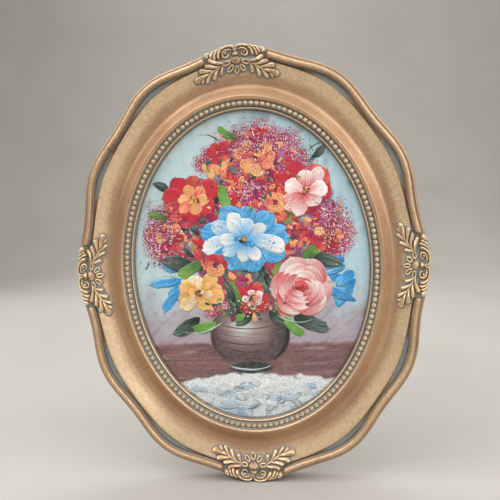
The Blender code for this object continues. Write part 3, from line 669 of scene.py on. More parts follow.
def makeOrnament(name, quarter):
    columns, rows = ornament["columns"], ornament["rows"]
    deselectAll()
    bpy.ops.mesh.primitive_grid_add(x_subdivisions=columns, y_subdivisions=rows, size=0.06)
    made = nameIt(name)
    spot = placesOf(made)
    part = (spot[:, 1] - spot[:, 1].min()) / np.ptp(spot[:, 1])
    across = (spot[:, 0] - spot[:, 0].min()) / np.ptp(spot[:, 0]) * 2 - 1
    across = across * ornament["halfLength"]
    notch = np.clip(1 - np.abs(across) / ring["cleftHalfWidth"], 0, 1)
    rim = edgeDrop(quarter, across) + ring["cleftDepth"] * notch
    inward = ornament["depth"] + (rim + ornament["inset"] - ornament["depth"]) * part
    cleft, outward = cleftPlace(quarter)
    x = cleft[0] - outward[1] * across - outward[0] * inward
    z = cleft[1] + outward[0] * across - outward[1] * inward
    where, offset = findTurn(x, z)
    plain = plainHeight(where, offset)

    # hand-cut unevenness, another one for each ornament
    sway = ornament["sway"]
    wide, deep = across / mm, rim / mm + (inward - rim) / mm / ornament["squeeze"][quarter]
    wide = (wide + sway * np.sin(deep * 0.31 + quarter * 2.1 + 0.9)
            + sway * 0.6 * np.sin(wide * 0.45 + quarter))
    deep = deep + sway * np.sin(across / mm * 0.27 + quarter * 1.7) * between(3.0, 9.0, deep)
    relief, outside = carve(flatCarving(quarter), wide, deep)
    shape = (rows + 1, columns + 1)
    inner = outside <= 0
    # the paint-filled ground joins the shapes that stand close together, most of all towards the rim
    joined = blurred(inner.astype(float).reshape(shape), ornament["groundBlur"]).ravel()
    joined = joined + 0.12 * between(19.0, 9.0, deep)
    patch = 0.5 + 0.5 * np.sin(wide * 0.83 + quarter) * np.sin(deep * 0.97 + 2 * quarter)
    filled = fade(*ornament["fillNear"], joined) * fade(*ornament["fillReach"], outside)
    edging = fade(0.5 + 0.9 * patch, 0.2 + 0.4 * patch, outside)
    covered = np.maximum(filled, edging)
    lift = (ornament["washLift"] * covered
            + np.where(inner, relief * mm, -ornament["dip"] * (1 - covered)))
    moveTo(made, np.stack([x, front * (plain + lift), z + oval["centre"]], axis=-1))

    # hollowness: crests rubbed pale with a painted highlight, wash in the cavities and on the filled ground,
    # and at the shapes' feet a dark line of painted shadow over the wash
    tall = (lift / mm).reshape(shape)
    cavity = (blurred(tall, ornament["cavityBlur"]) - tall).ravel()
    level, growth = ornament["crest"]
    crest = np.clip(level + growth * cavity, -0.7, 1.3)
    crest = np.where(cavity > 0, np.maximum(crest, 0.8 * fade(0, 0.4, cavity)), crest)
    least, more = ornament["footWash"]
    # the hollowness peaks right at the shapes' edges: a painted shadow round the carving that turns the wash
    # dark
    foot = np.maximum((least + more * patch) * filled,
                      (0.35 + 0.9 * np.exp(-(outside / 0.55) ** 2)) * edging)
    glaze = ornament["glaze"][quarter] * fade(17.0, 10.0, np.abs(wide)) * (0.5 + 0.5 * patch)
    tonePoints(made, "hollow", np.where(inner, crest + glaze, foot))
    markRun(made, where, offset)

    # close the patch inside the ring
    pick(made)
    closeEdge((0, 4 * mm, 0))
    spot = placesOf(made)
    spot[(rows + 1) * (columns + 1):, 1] = front * ornament["floor"]
    moveTo(made, spot)
    faceOut(made)
    bpy.ops.object.shade_smooth()
    return made


# Bead course

beadCourse = {
    "count": 160, "radius": 2.08 * mm, "offset": 4.45 * mm, "height": 12.9 * mm,
    "segments": 12, "rings": 6,
    "scale": (1.12, 0.85, 1.25),            # across, out and along the course
    "sideWashAndShade": 1.1, "topRubAndHighlight": 1.5,         # hollowness of the sides, wash and painted shade, and how much less of it on top, rubbed pale with a painted highlight
}


def makeBeads():
    fine = np.linspace(0, 2 * math.pi, 4001)
    x, z = ovalPoint(fine, beadCourse["offset"])
    length = np.concatenate([[0.0], np.cumsum(np.hypot(np.diff(x), np.diff(z)))])
    count = beadCourse["count"]
    turns = np.interp((np.arange(count) + 0.5) / count * length[-1], length, fine)
    deselectAll()
    bpy.ops.mesh.primitive_uv_sphere_add(segments=beadCourse["segments"], ring_count=beadCourse["rings"],
                                         radius=beadCourse["radius"], rotation=(math.pi / 2, 0, 0))
    first = nameIt("bead_course")
    settle(first)
    bpy.ops.object.shade_smooth()
    facing = -placesOf(first)[:, 1] / beadCourse["radius"]
    # each bead's face towards the front is painted pale as a highlight, and its sides darker as painted
    # shade over the wash
    tonePoints(first, "hollow", beadCourse["sideWashAndShade"] - beadCourse["topRubAndHighlight"] * fade(0.45, 1.0, facing))
    beads = [first] + [copyOf(first) for number in range(1, count)]
    for bead, turn in zip(beads, turns):
        normal = ovalNormal(turn)
        bead.location = worldPoint(np.array(turn), beadCourse["offset"], beadCourse["height"])
        bead.rotation_euler.y = -math.atan2(normal[1], normal[0])
        bead.scale = beadCourse["scale"]
    pick(*beads)
    bpy.ops.object.join()
    settle(first)
    return first


# Painted board

board = {
    "offset": 6.2 * mm, "thickness": 3.0 * mm, "front": 6.7 * mm, "sides": 240, "bevel": 0.25 * mm,
    "fibre": "#5f4330", "paleFibre": "#8a6546", "darkCloud": "#4b3526", "screenMark": "#3b2a1f",
    "screen": 4200.0,        # radians of the back's screen pattern per metre
}


def makeBoard():
    deselectAll()
    middle = board["front"] - board["thickness"] / 2
    bpy.ops.mesh.primitive_cylinder_add(vertices=board["sides"], radius=0.1, depth=board["thickness"],
                                        location=(0, front * middle, oval["centre"]),
                                        rotation=(math.pi / 2, 0, 0))
    made = nameIt("board")
    settle(made)
    spot = placesOf(made)
    turn = np.arctan2(spot[:, 2] - oval["centre"], spot[:, 0])
    x, z = ovalPoint(turn, board["offset"])
    moveTo(made, np.stack([x, spot[:, 1], z + oval["centre"]], axis=-1))
    pick(made)
    bevel = made.modifiers.new("soft edge", "BEVEL")
    bevel.width = board["bevel"]
    bevel.segments = 2
    bevel.limit_method = "ANGLE"
    bpy.ops.object.modifier_apply(modifier=bevel.name)
    bpy.ops.object.shade_smooth_by_angle(angle=math.radians(35))
    return made


# Oil painting: strokes and dabs of paint on the board, each a thin closed body of its own, laid in order.
# Places are in mm from the oval's centre, across to the right and up.

paints = {
    "white": "#f4efe9", "blush": "#f0c9c4", "rose": "#dd7f80", "red": "#c8323c", "crimson": "#a3203f",
    "magenta": "#aa2260", "plum": "#6a2a55", "lilac": "#b98fb6", "coral": "#e8765a", "peach": "#f5b184",
    "orange": "#e39a3c", "ochre": "#bd8a3a", "lemon": "#f0cd72", "sky": "#7cc3ea", "azure": "#2f95d3",
    "deepBlue": "#1c6fae", "aqua": "#b9d2d5", "mist": "#dde5e4", "mauve": "#8f6a70", "brown": "#6d4746",
    "umber": "#3f3230", "stone": "#a99a94", "leaf": "#5c9338", "lime": "#93b765", "pine": "#22403a",
    "black": "#171d1e", "sage": "#7d8f83", "slate": "#6b7f8a", "paleBlue": "#a9c9d6", "haze": "#a58f98",
    "table": "#7d5250", "tableDark": "#553534", "cloth": "#d2dadd", "clothBlue": "#94b4c8",
}
easel = {
    "seed": 11, "grain": 0.5,            # grain: cell size of the grid that keeps the paint's height
    "halfWidth": 98, "halfHeight": 128,  # of that grid, a little past the board's edge
    "lowest": 6.72, "highest": 9.4,      # of the paint, above the wall
    "gap": 0.12, "room": 1.9,            # under a stroke, and height over which strokes flatten out
    "pile": 0.75, "edgeGap": 0.2,        # share of the paint below that a stroke clears, room at the edge
    "broad": 4.5, "narrow": 1.6,         # widths from which a stroke is made of more faces
    "dabEdge": 1.2,                      # how far dabs keep from the frame's edge
    "dabRise": (0.45, 0.32),             # height of a dab as a share of its size, and at most
}
chance = np.random.default_rng(easel["seed"])
pileShape = (int(2 * easel["halfHeight"] / easel["grain"]), int(2 * easel["halfWidth"] / easel["grain"]))
pile = np.full(pileShape, easel["lowest"])    # height of the paint so far, on a grid over the board


def pileCell(x, z):
    column = np.clip(((x + easel["halfWidth"]) / easel["grain"]).astype(int), 0, pileShape[1] - 1)
    row = np.clip(((z + easel["halfHeight"]) / easel["grain"]).astype(int), 0, pileShape[0] - 1)
    return row, column


def softNoise(x, z, wide, tall=None):
    # Smooth random patches between 0 and 1, about this wide and tall in mm
    size = 48
    lattice = chance.uniform(0, 1, (size, size))
    u, v = x / wide + 400.0, z / (tall or wide) + 400.0
    column, row = np.floor(u).astype(int), np.floor(v).astype(int)
    over, up = ease(u - column), ease(v - row)

    def at(c, r):
        return lattice[r % size, c % size]

    low = at(column, row) * (1 - over) + at(column + 1, row) * over
    high = at(column, row + 1) * (1 - over) + at(column + 1, row + 1) * over
    return low * (1 - up) + high * up


ground = {
    "columns": 184, "rows": 240, "reach": 1.6, "height": 6.74, "relief": 0.1,
    "tableTop": -63.0, "clothTop": -88.0, "potCentre": (-3.0, -55.0), "potHalf": (32.0, 24.0),
    # painted areas of the bouquet: centre, spread, and how solid they are
    "areas": (((0, 22), (58, 44), 1.0), ((-2, -20), (46, 26), 1.0), ((4, 72), (32, 30), 0.9),
              ((-48, 50), (22, 20), 0.8), ((48, 54), (22, 22), 0.8)),
    # patches of paint on them: width, where the noise lets each start and be full, and how much it covers
    "bedPatches": (("plum", 11, 0.4, 0.6, 1.0), ("magenta", 12, 0.5, 0.65, 1.0),
                   ("crimson", 13, 0.55, 0.7, 1.0), ("coral", 5, 0.7, 0.8, 1.0),
                   ("leaf", 5, 0.72, 0.84, 0.8)),
    "sprays": (((10, 94), (34, 24)), ((-66, 28), (21, 32)), ((64, 28), (20, 30)), ((-26, 84), (16, 14)),
               ((36, 80), (18, 14)), ((-20, -36), (24, 10)), ((0, 60), (40, 30))),
}


def blobShare(x, z, centre, spread):
    return 1 - ((x - centre[0]) / spread[0]) ** 2 - ((z - centre[1]) / spread[1]) ** 2


def paintGround(x, z, offset):
    # Colours and speckle densities of the ground at these places, in mm
    shade = np.zeros((len(x), 3))

    def lay(mask, name):
        nonlocal shade
        mask = np.clip(mask, 0, 1)[:, None]
        shade = shade * (1 - mask) + mask * np.array(linear(paints[name]))

    broad, middle, small = softNoise(x, z, 38), softNoise(x, z, 14), softNoise(x, z, 4)
    brushed = softNoise(x * 0.8 + z * 0.6, z * 0.8 - x * 0.6, 16, 2.2)
    lay(1 + 0 * x, "aqua")
    lay(fade(-50, 70, x + 60 * (broad - 0.5)) * 0.75, "paleBlue")
    lay(fade(0.55, 0.95, middle) * 0.35, "mist")
    lay(fade(0.5, 1.0, brushed) * 0.22, "mist")
    lay(fade(0.55, 1.0, softNoise(x, z, 3.0, 12.0)) * 0.16, "slate")
    lay(fade(0.6, 1.0, softNoise(x, z, 9.0)) * fade(40, 90, x + z * 0.6) * 0.5, "slate")
    haze = fade(-6, -56, z + 26 * (middle - 0.5) + 14 * (small - 0.5))
    lay(haze * 0.85, "haze")
    lay(haze * fade(0.5, 0.9, brushed) * 0.5, "mauve")
    # table top in level streaks, then the cloth
    edge = ground["tableTop"] + 5 * (softNoise(x, z, 22, 400) - 0.5)
    table = fade(edge + 1.4, edge - 1.4, z + 1.6 * (small - 0.5))
    streak, thin = softNoise(x, z, 46, 3.4), softNoise(x, z, 22, 1.5)
    lay(table, "table")
    lay(table * fade(0.4, 0.75, streak), "brown")
    lay(table * fade(0.65, 0.95, softNoise(x, z, 40, 5.0)) * 0.7, "tableDark")
    lay(table * fade(0.6, 0.95, thin) * 0.6, "mauve")
    lay(table * fade(0.78, 0.98, softNoise(x, z, 26, 2.0)) * 0.6, "stone")
    lay(table * fade(34, 4, np.abs(x + 3)) * fade(-96, -80, z) * 0.55, "umber")
    edge = ground["clothTop"] + 7 * (softNoise(x, z, 13, 400) - 0.5) - 5 * (x / 60) ** 2
    cloth = fade(edge + 1.0, edge - 1.0, z + 3.4 * (small - 0.5))
    lay(cloth, "cloth")
    low = fade(-92, -116, z + 9 * (middle - 0.5))
    lay(cloth * low * fade(0.3, 0.8, softNoise(x, z, 12, 5)) * 0.8, "clothBlue")
    lay(cloth * fade(0.62, 0.95, small) * 0.55, "slate")
    # bouquet: a dark and coloured bed below the blooms
    bed = 0 * x
    for centre, spread, solid in ground["areas"]:
        share = blobShare(x, z, centre, spread) + 0.5 * (small - 0.5)
        bed = np.maximum(bed, solid * between(0.0, 0.45, share))
    bed = ease(np.clip(bed + 0.35 * (middle - 0.5), 0, 1)) * (1 - cloth)
    lay(bed * 0.9, "pine")
    for name, size, start, full, share in ground["bedPatches"]:
        lay(bed * fade(start, full, softNoise(x, z, size)) * share, name)
    # rounded pot with a soft light down its middle, and its foot
    px, pz = ground["potCentre"]
    wide, tall = ground["potHalf"]
    u, v = (x - px) / wide, (z - pz) / tall
    belly = np.abs(u) ** 2.2 + np.abs(v) ** 2.6
    pot = fade(1.03, 0.97, belly) * (v < 0.8)
    lay(pot, "umber")
    lay(pot * fade(1.0, 0.45, np.abs(u + 0.06)) * 0.9, "brown")
    glow = fade(0.85, 0.1, np.hypot(u + 0.12, (v - 0.25) * 0.85))
    lay(pot * glow * 0.95, "stone")
    lay(pot * fade(0.42, 0.05, np.hypot(u + 0.2, (v - 0.3) * 0.8)) * 0.6, "mist")
    rings = np.sin((v + 0.3 * u ** 2) * 15 + 5 * (softNoise(x, z, 24, 10) - 0.5))
    lay(pot * fade(0.35, 1.0, rings) * fade(0.95, 0.5, np.abs(u)) * 0.3, "umber")
    lay(pot * fade(0.3, 1.0, np.hypot(u - 0.1, v - 0.2)) * fade(-0.1, -0.9, v) * 0.75, "umber")
    lay(pot * fade(0.45, 0.95, u) * 0.6, "black")
    footing = fade(1.08, 0.94, np.hypot((x - px) / 17.5, (z - pz + tall + 3.5) / 4.6))
    lay(footing, "black")
    lay(footing * fade(0.5, 0.9, small) * 0.5, "pine")
    # painted shadow: the ground darkens towards umber within 1.6 mm of the frame's sight edge, where the
    # fillet's shade falls
    lay(fade(-1.6, -0.2, offset) * 0.75, "umber")
    # speckle: coloured, white and dark flecks
    spray, white, dark = 0 * x, 0 * x, 0 * x
    for centre, spread in ground["sprays"]:
        share = blobShare(x, z, centre, spread) + 0.7 * (middle - 0.5) + 0.3 * (small - 0.5)
        spray = np.maximum(spray, between(-0.5, 0.75, share) ** 0.9)
        white = np.maximum(white, 0.45 * between(-0.1, 0.7, share) + 0.15 * (small - 0.5))
        dark = np.maximum(dark, 0.38 * between(-0.5, 0.4, share))
    still = 1 - np.maximum(pot, footing)
    magenta, crimson, slate = (np.array(linear(paints[name])) for name in ("magenta", "crimson", "slate"))
    tint = fade(0.45, 0.6, softNoise(x, z, 7))[:, None]
    onCloth = cloth > 0.5
    fleck = np.where(onCloth[:, None], slate, magenta * (1 - tint) + tint * crimson)
    scratch = softNoise(x, z, 5.0, 1.4)
    spray = np.where(onCloth, 0.2 + 0.22 * low + 0.5 * (scratch - 0.5), spray) * still
    white = np.where(onCloth, 0.6 - 0.3 * low, white) * still
    dark = np.where(onCloth, 0.2 * between(0.5, 1.0, middle), dark) * still
    dark = np.maximum(dark, 0.42 * between(0.55, 0.9, softNoise(x, z, 16)) * (z > 20) * (1 - bed))
    return shade, fleck, spray, white, dark


def makeGround():
    deselectAll()
    bpy.ops.mesh.primitive_grid_add(x_subdivisions=ground["columns"], y_subdivisions=ground["rows"],
                                    size=2.0)
    made = nameIt("oil_ground")
    closeEdge((0, 0, -0.3))
    flat = placesOf(made)
    u, v = np.clip(flat[:, 0], -1, 1), np.clip(flat[:, 1], -1, 1)
    x = u * np.sqrt(1 - v * v / 2) * (oval["halfWidth"] / mm + ground["reach"])
    z = v * np.sqrt(1 - u * u / 2) * (oval["halfHeight"] / mm + ground["reach"])
    turn, offset = findTurn(x * mm, z * mm)
    offset = offset / mm
    relief = 0.6 * softNoise(x * 0.8 + z * 0.6, z * 0.8 - x * 0.6, 9, 1.6) + 0.4 * softNoise(x, z, 2.4)
    height = ground["height"] + ground["relief"] * relief * between(0.5, -2.0, offset)
    height = np.where(flat[:, 2] > -0.1, height, easel["lowest"] - 0.3)
    moveTo(made, paintPlaces(x, height, z))
    shade, fleck, spray, white, dark = paintGround(x, z, offset)
    colourPoints(made, "paintA", shade)
    colourPoints(made, "paintB", fleck)
    for name, values in (("spray", spray), ("whites", white), ("darks", dark)):
        tonePoints(made, name, values)
    faceOut(made)
    bpy.ops.object.shade_smooth()
    return made


def makeForm(along, across):
    # A flat sheet with a rim folded down and closed below, as the start of a stroke
    deselectAll()
    bpy.ops.mesh.primitive_grid_add(x_subdivisions=along, y_subdivisions=across, size=2.0)
    made = nameIt("stroke_form")
    closeEdge((0, 0, -0.2))
    faceOut(made)
    bpy.ops.object.shade_smooth()
    return made


def curve(points, part):
    # Point and heading of the smooth curve drawn by two, three or four points
    points = [np.array(p, dtype=float)[:, None] for p in points]
    if len(points) == 2:
        points = [points[0], (points[0] + points[1]) / 2, points[1]]
    if len(points) == 3:
        a, b, c = points
        spot = a * (1 - part) ** 2 + 2 * b * part * (1 - part) + c * part ** 2
        way = 2 * (b - a) * (1 - part) + 2 * (c - b) * part
    else:
        a, b, c, d = points
        spot = (a * (1 - part) ** 3 + 3 * b * part * (1 - part) ** 2 + 3 * c * part ** 2 * (1 - part)
                + d * part ** 3)
        way = 3 * ((b - a) * (1 - part) ** 2 + 2 * (c - b) * part * (1 - part) + (d - c) * part ** 2)
    size = np.maximum(np.hypot(*way), 1e-6)
    return spot, way / size, size


def widthOf(profile, part):
    if profile == "petal":
        low = 0.22 + 0.78 * np.clip(part / 0.6, 0, 1) ** 0.8
        return np.where(part < 0.6, low, np.sqrt(np.clip(1 - ((part - 0.6) / 0.4) ** 2, 0.0, 1)))
    if profile == "leaf":
        return np.clip(np.sin(math.pi * np.clip(part, 0, 1)), 0, 1) ** 0.75
    if profile == "knife":
        return np.sqrt(np.clip(1 - np.abs(2 * part - 1) ** 6, 0, 1))
    if profile == "trail":
        return np.sqrt(np.clip(part / 0.12, 0, 1)) * (1 - 0.8 * part ** 1.5)
    return np.sqrt(np.clip(1 - (2 * part - 1) ** 2, 0, 1))


def ripple(value, size, count=4):
    # A soft random wave
    total = 0 * value
    for step in range(1, count + 1):
        total = total + np.sin(value * step * 2.3 + chance.uniform(0, 6.28)) / step ** 0.7
    return size * total


def paintColour(name, shift):
    return np.array([min(1.0, max(0.0, c * (1 + shift))) for c in linear(paints[name])])


def paintPlaces(x, height, z):
    # From mm on the board to the CAD's frame
    return np.stack([x * mm, front * height * mm, z * mm + oval["centre"]], axis=-1)


class Canvas:
    def __init__(self):
        self.forms = {"broad": makeForm(24, 9), "narrow": makeForm(16, 5), "line": makeForm(18, 2)}
        self.parts = []

    def stroke(self, path, width, colours, profile, thick, form=None, ragged=0.06):
        # colours: the two streaked paints at the start, then the two at the end
        if form is None:
            form = "broad" if width > easel["broad"] else "narrow" if width > easel["narrow"] else "line"
        source = self.forms[form]
        flat = placesOf(source)
        part, aside = (flat[:, 0] + 1) / 2, flat[:, 1]
        top = flat[:, 2] > -0.1
        uneven = part + ragged * (ripple(aside, 0.5, 3) * ease(part) - ripple(aside, 0.3, 3) * (1 - part))
        spot, way, speed = curve(path, np.clip(uneven, -0.06, 1.08))
        half = width / 2 * widthOf(profile, part) * (1 + ripple(part * 3, ragged * 0.6)) + 0.05
        x = spot[0] - way[1] * aside * half
        z = spot[1] + way[0] * aside * half
        # kept inside the frame's edge
        turn, offset = findTurn(x * mm, z * mm)
        inX, inZ = ovalPoint(turn, -easel["edgeGap"] * mm)
        outside = offset > -easel["edgeGap"] * mm
        x, z = np.where(outside, inX / mm, x), np.where(outside, inZ / mm, z)
        # laid on the paint so far, with ridges along both sides
        under = pile[pileCell(x, z)]
        under = np.minimum(under, np.quantile(under, easel["pile"]) + 0.15)
        edge = np.maximum(np.abs(aside), np.abs(2 * part - 1) ** 3)
        body = 0.5 + 0.35 * np.exp(-((np.abs(aside) - 0.74) / 0.17) ** 2) + ripple(aside * 4 + part, 0.07)
        body = body * (1 - fade(0.82, 1.0, edge) * 0.85)
        settled = np.clip(1 - (under - easel["lowest"]) / easel["room"], 0.14, 1.0)
        rise = under + (easel["gap"] + thick * np.maximum(body, 0.1)) * settled
        height = np.maximum(np.where(top, rise, under - 0.35), easel["lowest"] - 0.3)
        copy = copyOf(source)
        moveTo(copy, paintPlaces(x, height, z))
        row, column = pileCell(x[top], z[top])
        for down in (-1, 0, 1):
            for over in (-1, 0, 1):
                cell = (np.clip(row + down, 0, pileShape[0] - 1),
                        np.clip(column + over, 0, pileShape[1] - 1))
                np.maximum.at(pile, cell, height[top] - 0.05)
        first, second, third, fourth = (*colours, *colours)[:4]
        shift = chance.normal(0, 0.06)
        blend = ease(part)[:, None]
        for layer, start, end in (("paintA", first, third), ("paintB", second, fourth)):
            shade = (1 - blend) * paintColour(start, shift) + blend * paintColour(end, shift)
            colourPoints(copy, layer, shade)
        length = float(np.mean(speed))
        vectorPoints(copy, "bristle", part * length * 0.1, aside * half * 1.3,
                     np.full(len(part), chance.uniform(0, 90)))
        self.parts.append(copy)

    def gather(self, name, finish):
        pick(*self.parts)
        bpy.ops.object.join()
        made = nameIt(name)
        made.data.materials.clear()
        made.data.materials.append(finish)
        self.parts = []
        return made


def paintBloom(canvas, centre, reach, petals, colours, squash, lean, start=0.0, width=0.62, thick=0.5):
    # An open flower: petals from the middle outwards, each with a slight bend
    for number in range(petals):
        angle = start + 360 * number / petals + chance.uniform(-7, 7)
        far = reach * chance.uniform(0.88, 1.08)
        bend = chance.uniform(-16, 16)
        path = (polar(centre, angle, reach * 0.12, squash, lean),
                polar(centre, angle + bend, far * 0.55, squash, lean),
                polar(centre, angle, far, squash, lean))
        shades = colours[number % len(colours)]
        canvas.stroke(path, reach * width * chance.uniform(0.85, 1.1), shades, "petal", thick)


def paintRose(canvas, centre, reach, colours, turns=3):
    # A full rose: curved strokes wrapped round the middle, smaller and closer inwards
    for circle in range(turns):
        far = reach * (1 - circle / (turns + 0.6))
        count = 6 - circle
        for number in range(count):
            angle = 360 * number / count + circle * 37 + chance.uniform(-9, 9)
            sweep = 150 / count + 22
            path = [polar(centre, angle - sweep, far * 0.8), polar(centre, angle - sweep * 0.4, far * 1.05),
                    polar(centre, angle + sweep * 0.4, far * 1.05), polar(centre, angle + sweep, far * 0.72)]
            shades = colours[(number + circle) % len(colours)]
            canvas.stroke(path, reach * 0.42 * (1 - 0.16 * circle), shades, "leaf", 0.5, ragged=0.04)


def paintLeaf(canvas, root, tip, width, colours, bend, thick=0.45, profile="leaf"):
    middle = ((root[0] + tip[0]) / 2 - (tip[1] - root[1]) * bend,
              (root[1] + tip[1]) / 2 + (tip[0] - root[0]) * bend)
    canvas.stroke((root, middle, tip), width, colours, profile, thick)


def spotIn(centre, spread, lean=0.0):
    # A random place within an oval
    angle, far = chance.uniform(0, 360), math.sqrt(chance.uniform(0, 1))
    return polar(centre, angle, far * spread[0], spread[1] / spread[0], lean)


def shortPath(spot, heading, length, side, bow):
    # Three points of a short stroke, with the middle one off by this bow to this side
    return (polar(spot, heading + 180, length / 2), polar(spot, heading + side, bow),
            polar(spot, heading, length / 2))


def paintMass(canvas, centre, spread, count, size, colours, lean=0.0, thick=0.3):
    # Loose strokes of one colour family, crossing each other within an oval area
    for number in range(count):
        spot = spotIn(centre, spread, lean)
        length = size * chance.uniform(0.7, 1.4)
        path = shortPath(spot, lean + chance.normal(0, 38), length, 80, length * 0.12)
        shades = colours[number % len(colours)]
        canvas.stroke(path, length * chance.uniform(0.4, 0.62), shades, "dab", thick)


def makeDabs(name, sprays):
    # Stippled paint: small flat domes over ovals, each with its centre, spread, count, sizes and paints
    deselectAll()
    bpy.ops.mesh.primitive_uv_sphere_add(segments=6, ring_count=3, radius=1.0, rotation=(math.pi / 2, 0, 0))
    first = nameIt("dab_form")
    settle(first)
    bpy.ops.object.shade_smooth()
    flat = placesOf(first)
    steep, most = easel["dabRise"]
    dabs = []
    for centre, spread, count, sizes, names in sprays:
        for number in range(count):
            angle = chance.uniform(0, 360)
            far = abs(chance.normal(0, 0.45))
            x, z = polar(centre, angle, far * spread[0], spread[1] / spread[0])
            turn, offset = findTurn(np.array(x * mm), np.array(z * mm))
            if offset > -easel["dabEdge"] * mm:
                continue
            size = chance.uniform(*sizes)
            long, spin = size * chance.uniform(0.9, 1.9), chance.uniform(0, math.pi)
            high = pile[pileCell(np.array(x), np.array(z))]
            across = flat[:, 0] * long
            up = flat[:, 2] * size * (1 + 0.25 * np.sin(3 * flat[:, 0] + number))
            height = high + 0.04 - flat[:, 1] * min(steep * size, most)
            copy = copyOf(first)
            moveTo(copy, paintPlaces(x + across * math.cos(spin) - up * math.sin(spin),
                                     np.minimum(height, easel["highest"]),
                                     z + across * math.sin(spin) + up * math.cos(spin)))
            shade = paintColour(names[int(chance.integers(len(names)))], chance.normal(0, 0.1))
            colourPoints(copy, "paintA", np.tile(shade, (len(flat), 1)))
            dabs.append(copy)
    bpy.data.objects.remove(first)
    pick(*dabs)
    bpy.ops.object.join()
    return nameIt(name)


# Finishes

gilt = {
    "gold": "#bc9a78", "warmGold": "#ae876a", "paleGoldAndHighlight": "#efd5ae",
    "wash": "#8a9798", "brownWash": "#9a866d", "darkWashAndShade": "#38312b",
    # hollowness where each starts and is full: pale rubbing with a painted highlight on crests and tops,
    # wash, and the dark of the deepest hollows, which is dark wash and painted shade
    "rubAndHighlight": (0.05, -0.45), "washed": (0.25, 0.8), "deep": (0.92, 1.32),
    "washShare": 0.92, "streakShare": 0.45,    # of the wash over gold, and of dark streaks in the wash
    "roughness": 0.42, "washRoughness": 0.72, "metal": 0.6,
    "brushAlong": 0.05, "brushAcross": 1.6,    # stretch of the brush marks, per mm
    "pinholes": 75, "pinholeSize": 0.018,      # cells per metre, and size as a share of a cell
    "hairlines": 16,
}


def gildedFinish():
    n = Nodes("gilded_resin")
    hollow = n.attribute("hollow")
    cloud = n.noise(28, 4)
    speckle = n.noise(420, 3, 0.6)
    fine = n.noise(1500, 2, 0.6)
    patchy = n.noise(170, 3, 0.6)
    along, across = gilt["brushAlong"], gilt["brushAcross"]
    brushed = n.noise(1.0, 4.0, 0.65, stretch=(along, along, across), where=n.attribute("run", vector=True))
    tone = n.math("ADD", cloud, n.span(brushed, 0.25, 0.75, -0.14, 0.14))
    gold = n.mix(n.span(tone, 0.35, 0.65), gilt["gold"], gilt["warmGold"])
    # pale gold where the gilt is rubbed through, which is also a painted highlight on the crests, the rim
    # and the bead tops
    rubAndHighlight = n.math("ADD", hollow, n.span(speckle, 0.3, 0.7, -0.08, 0.08))
    rubAndHighlight = n.span(rubAndHighlight, *gilt["rubAndHighlight"], smooth=True)
    gold = n.mix(rubAndHighlight, gold, gilt["paleGoldAndHighlight"])
    # the wash, with ragged edges, brown and dark streaks
    grainy = n.math("ADD", speckle, patchy)
    ragged = n.math("ADD", hollow, n.span(grainy, 0.7, 1.3, -0.3, 0.3))
    ragged = n.math("ADD", ragged, n.span(brushed, 0.3, 0.7, -0.2, 0.2))
    washed = n.span(ragged, *gilt["washed"], 0.0, gilt["washShare"], smooth=True)
    # the deepest hollows turn dark: dark wash together with painted shade in the creases and at the
    # carving's feet
    deep = n.math("ADD", hollow, n.span(fine, 0.3, 0.7, -0.15, 0.15))
    deep = n.span(deep, *gilt["deep"], smooth=True)
    wash = n.mix(n.span(grainy, 0.97, 1.25), gilt["wash"], gilt["brownWash"])
    wash = n.mix(n.span(brushed, 0.52, 0.7, 0.0, gilt["streakShare"]), wash, gilt["darkWashAndShade"])
    wash = n.mix(deep, wash, gilt["darkWashAndShade"])
    colour = n.mix(washed, gold, wash)
    # wear: casting pinholes, and a few dark hairlines
    cells = n.add("ShaderNodeTexVoronoi", {"Vector": n.coords, "Scale": gilt["pinholes"]})
    chosen = n.add("ShaderNodeSeparateColor", {"Color": cells.outputs["Color"]}).outputs[0]
    size = n.span(chosen, 0.6, 1.0, 0.0, 2 * gilt["pinholeSize"])
    hole = n.span(n.math("SUBTRACT", cells.outputs["Distance"], size), 0.004, -0.006, smooth=True)
    hole = n.math("MULTIPLY", hole, n.span(chosen, 0.6, 0.62))
    lines = n.math("ABSOLUTE", n.math("SUBTRACT", n.noise(gilt["hairlines"], 5, 0.55, distortion=0.4), 0.5))
    hair = n.math("MULTIPLY", n.span(lines, 0.0016, 0.0006), n.span(n.noise(19, 2), 0.62, 0.68))
    worn = n.math("MAXIMUM", hole, n.math("MULTIPLY", hair, 0.75))
    colour = n.mix(worn, colour, gilt["darkWashAndShade"])
    relief = n.math("ADD", n.math("MULTIPLY", speckle, 0.6), fine)
    relief = n.math("ADD", relief, n.math("MULTIPLY", brushed, 1.2))
    relief = n.math("SUBTRACT", relief, n.math("MULTIPLY", worn, 3.0))
    rough = n.math("ADD", n.span(washed, 0, 1, gilt["roughness"], gilt["washRoughness"]),
                   n.span(brushed, 0.3, 0.7, -0.06, 0.06))
    rough = n.math("SUBTRACT", rough, n.math("MULTIPLY", rubAndHighlight, 0.1))
    n.set(Base_Color=colour, Roughness=rough, Metallic=n.span(washed, 0, 1, gilt["metal"], 0.0),
          Normal=n.bump(relief, 0.05 * mm, 0.5))
    return n.material


hardware = {
    "steel": "#a9a7a2", "steelDull": "#7d7b76", "rust": "#6d4a33",
    "brass": "#b08d4c", "brassDull": "#7a6136", "tarnish": "#4e4028",
}


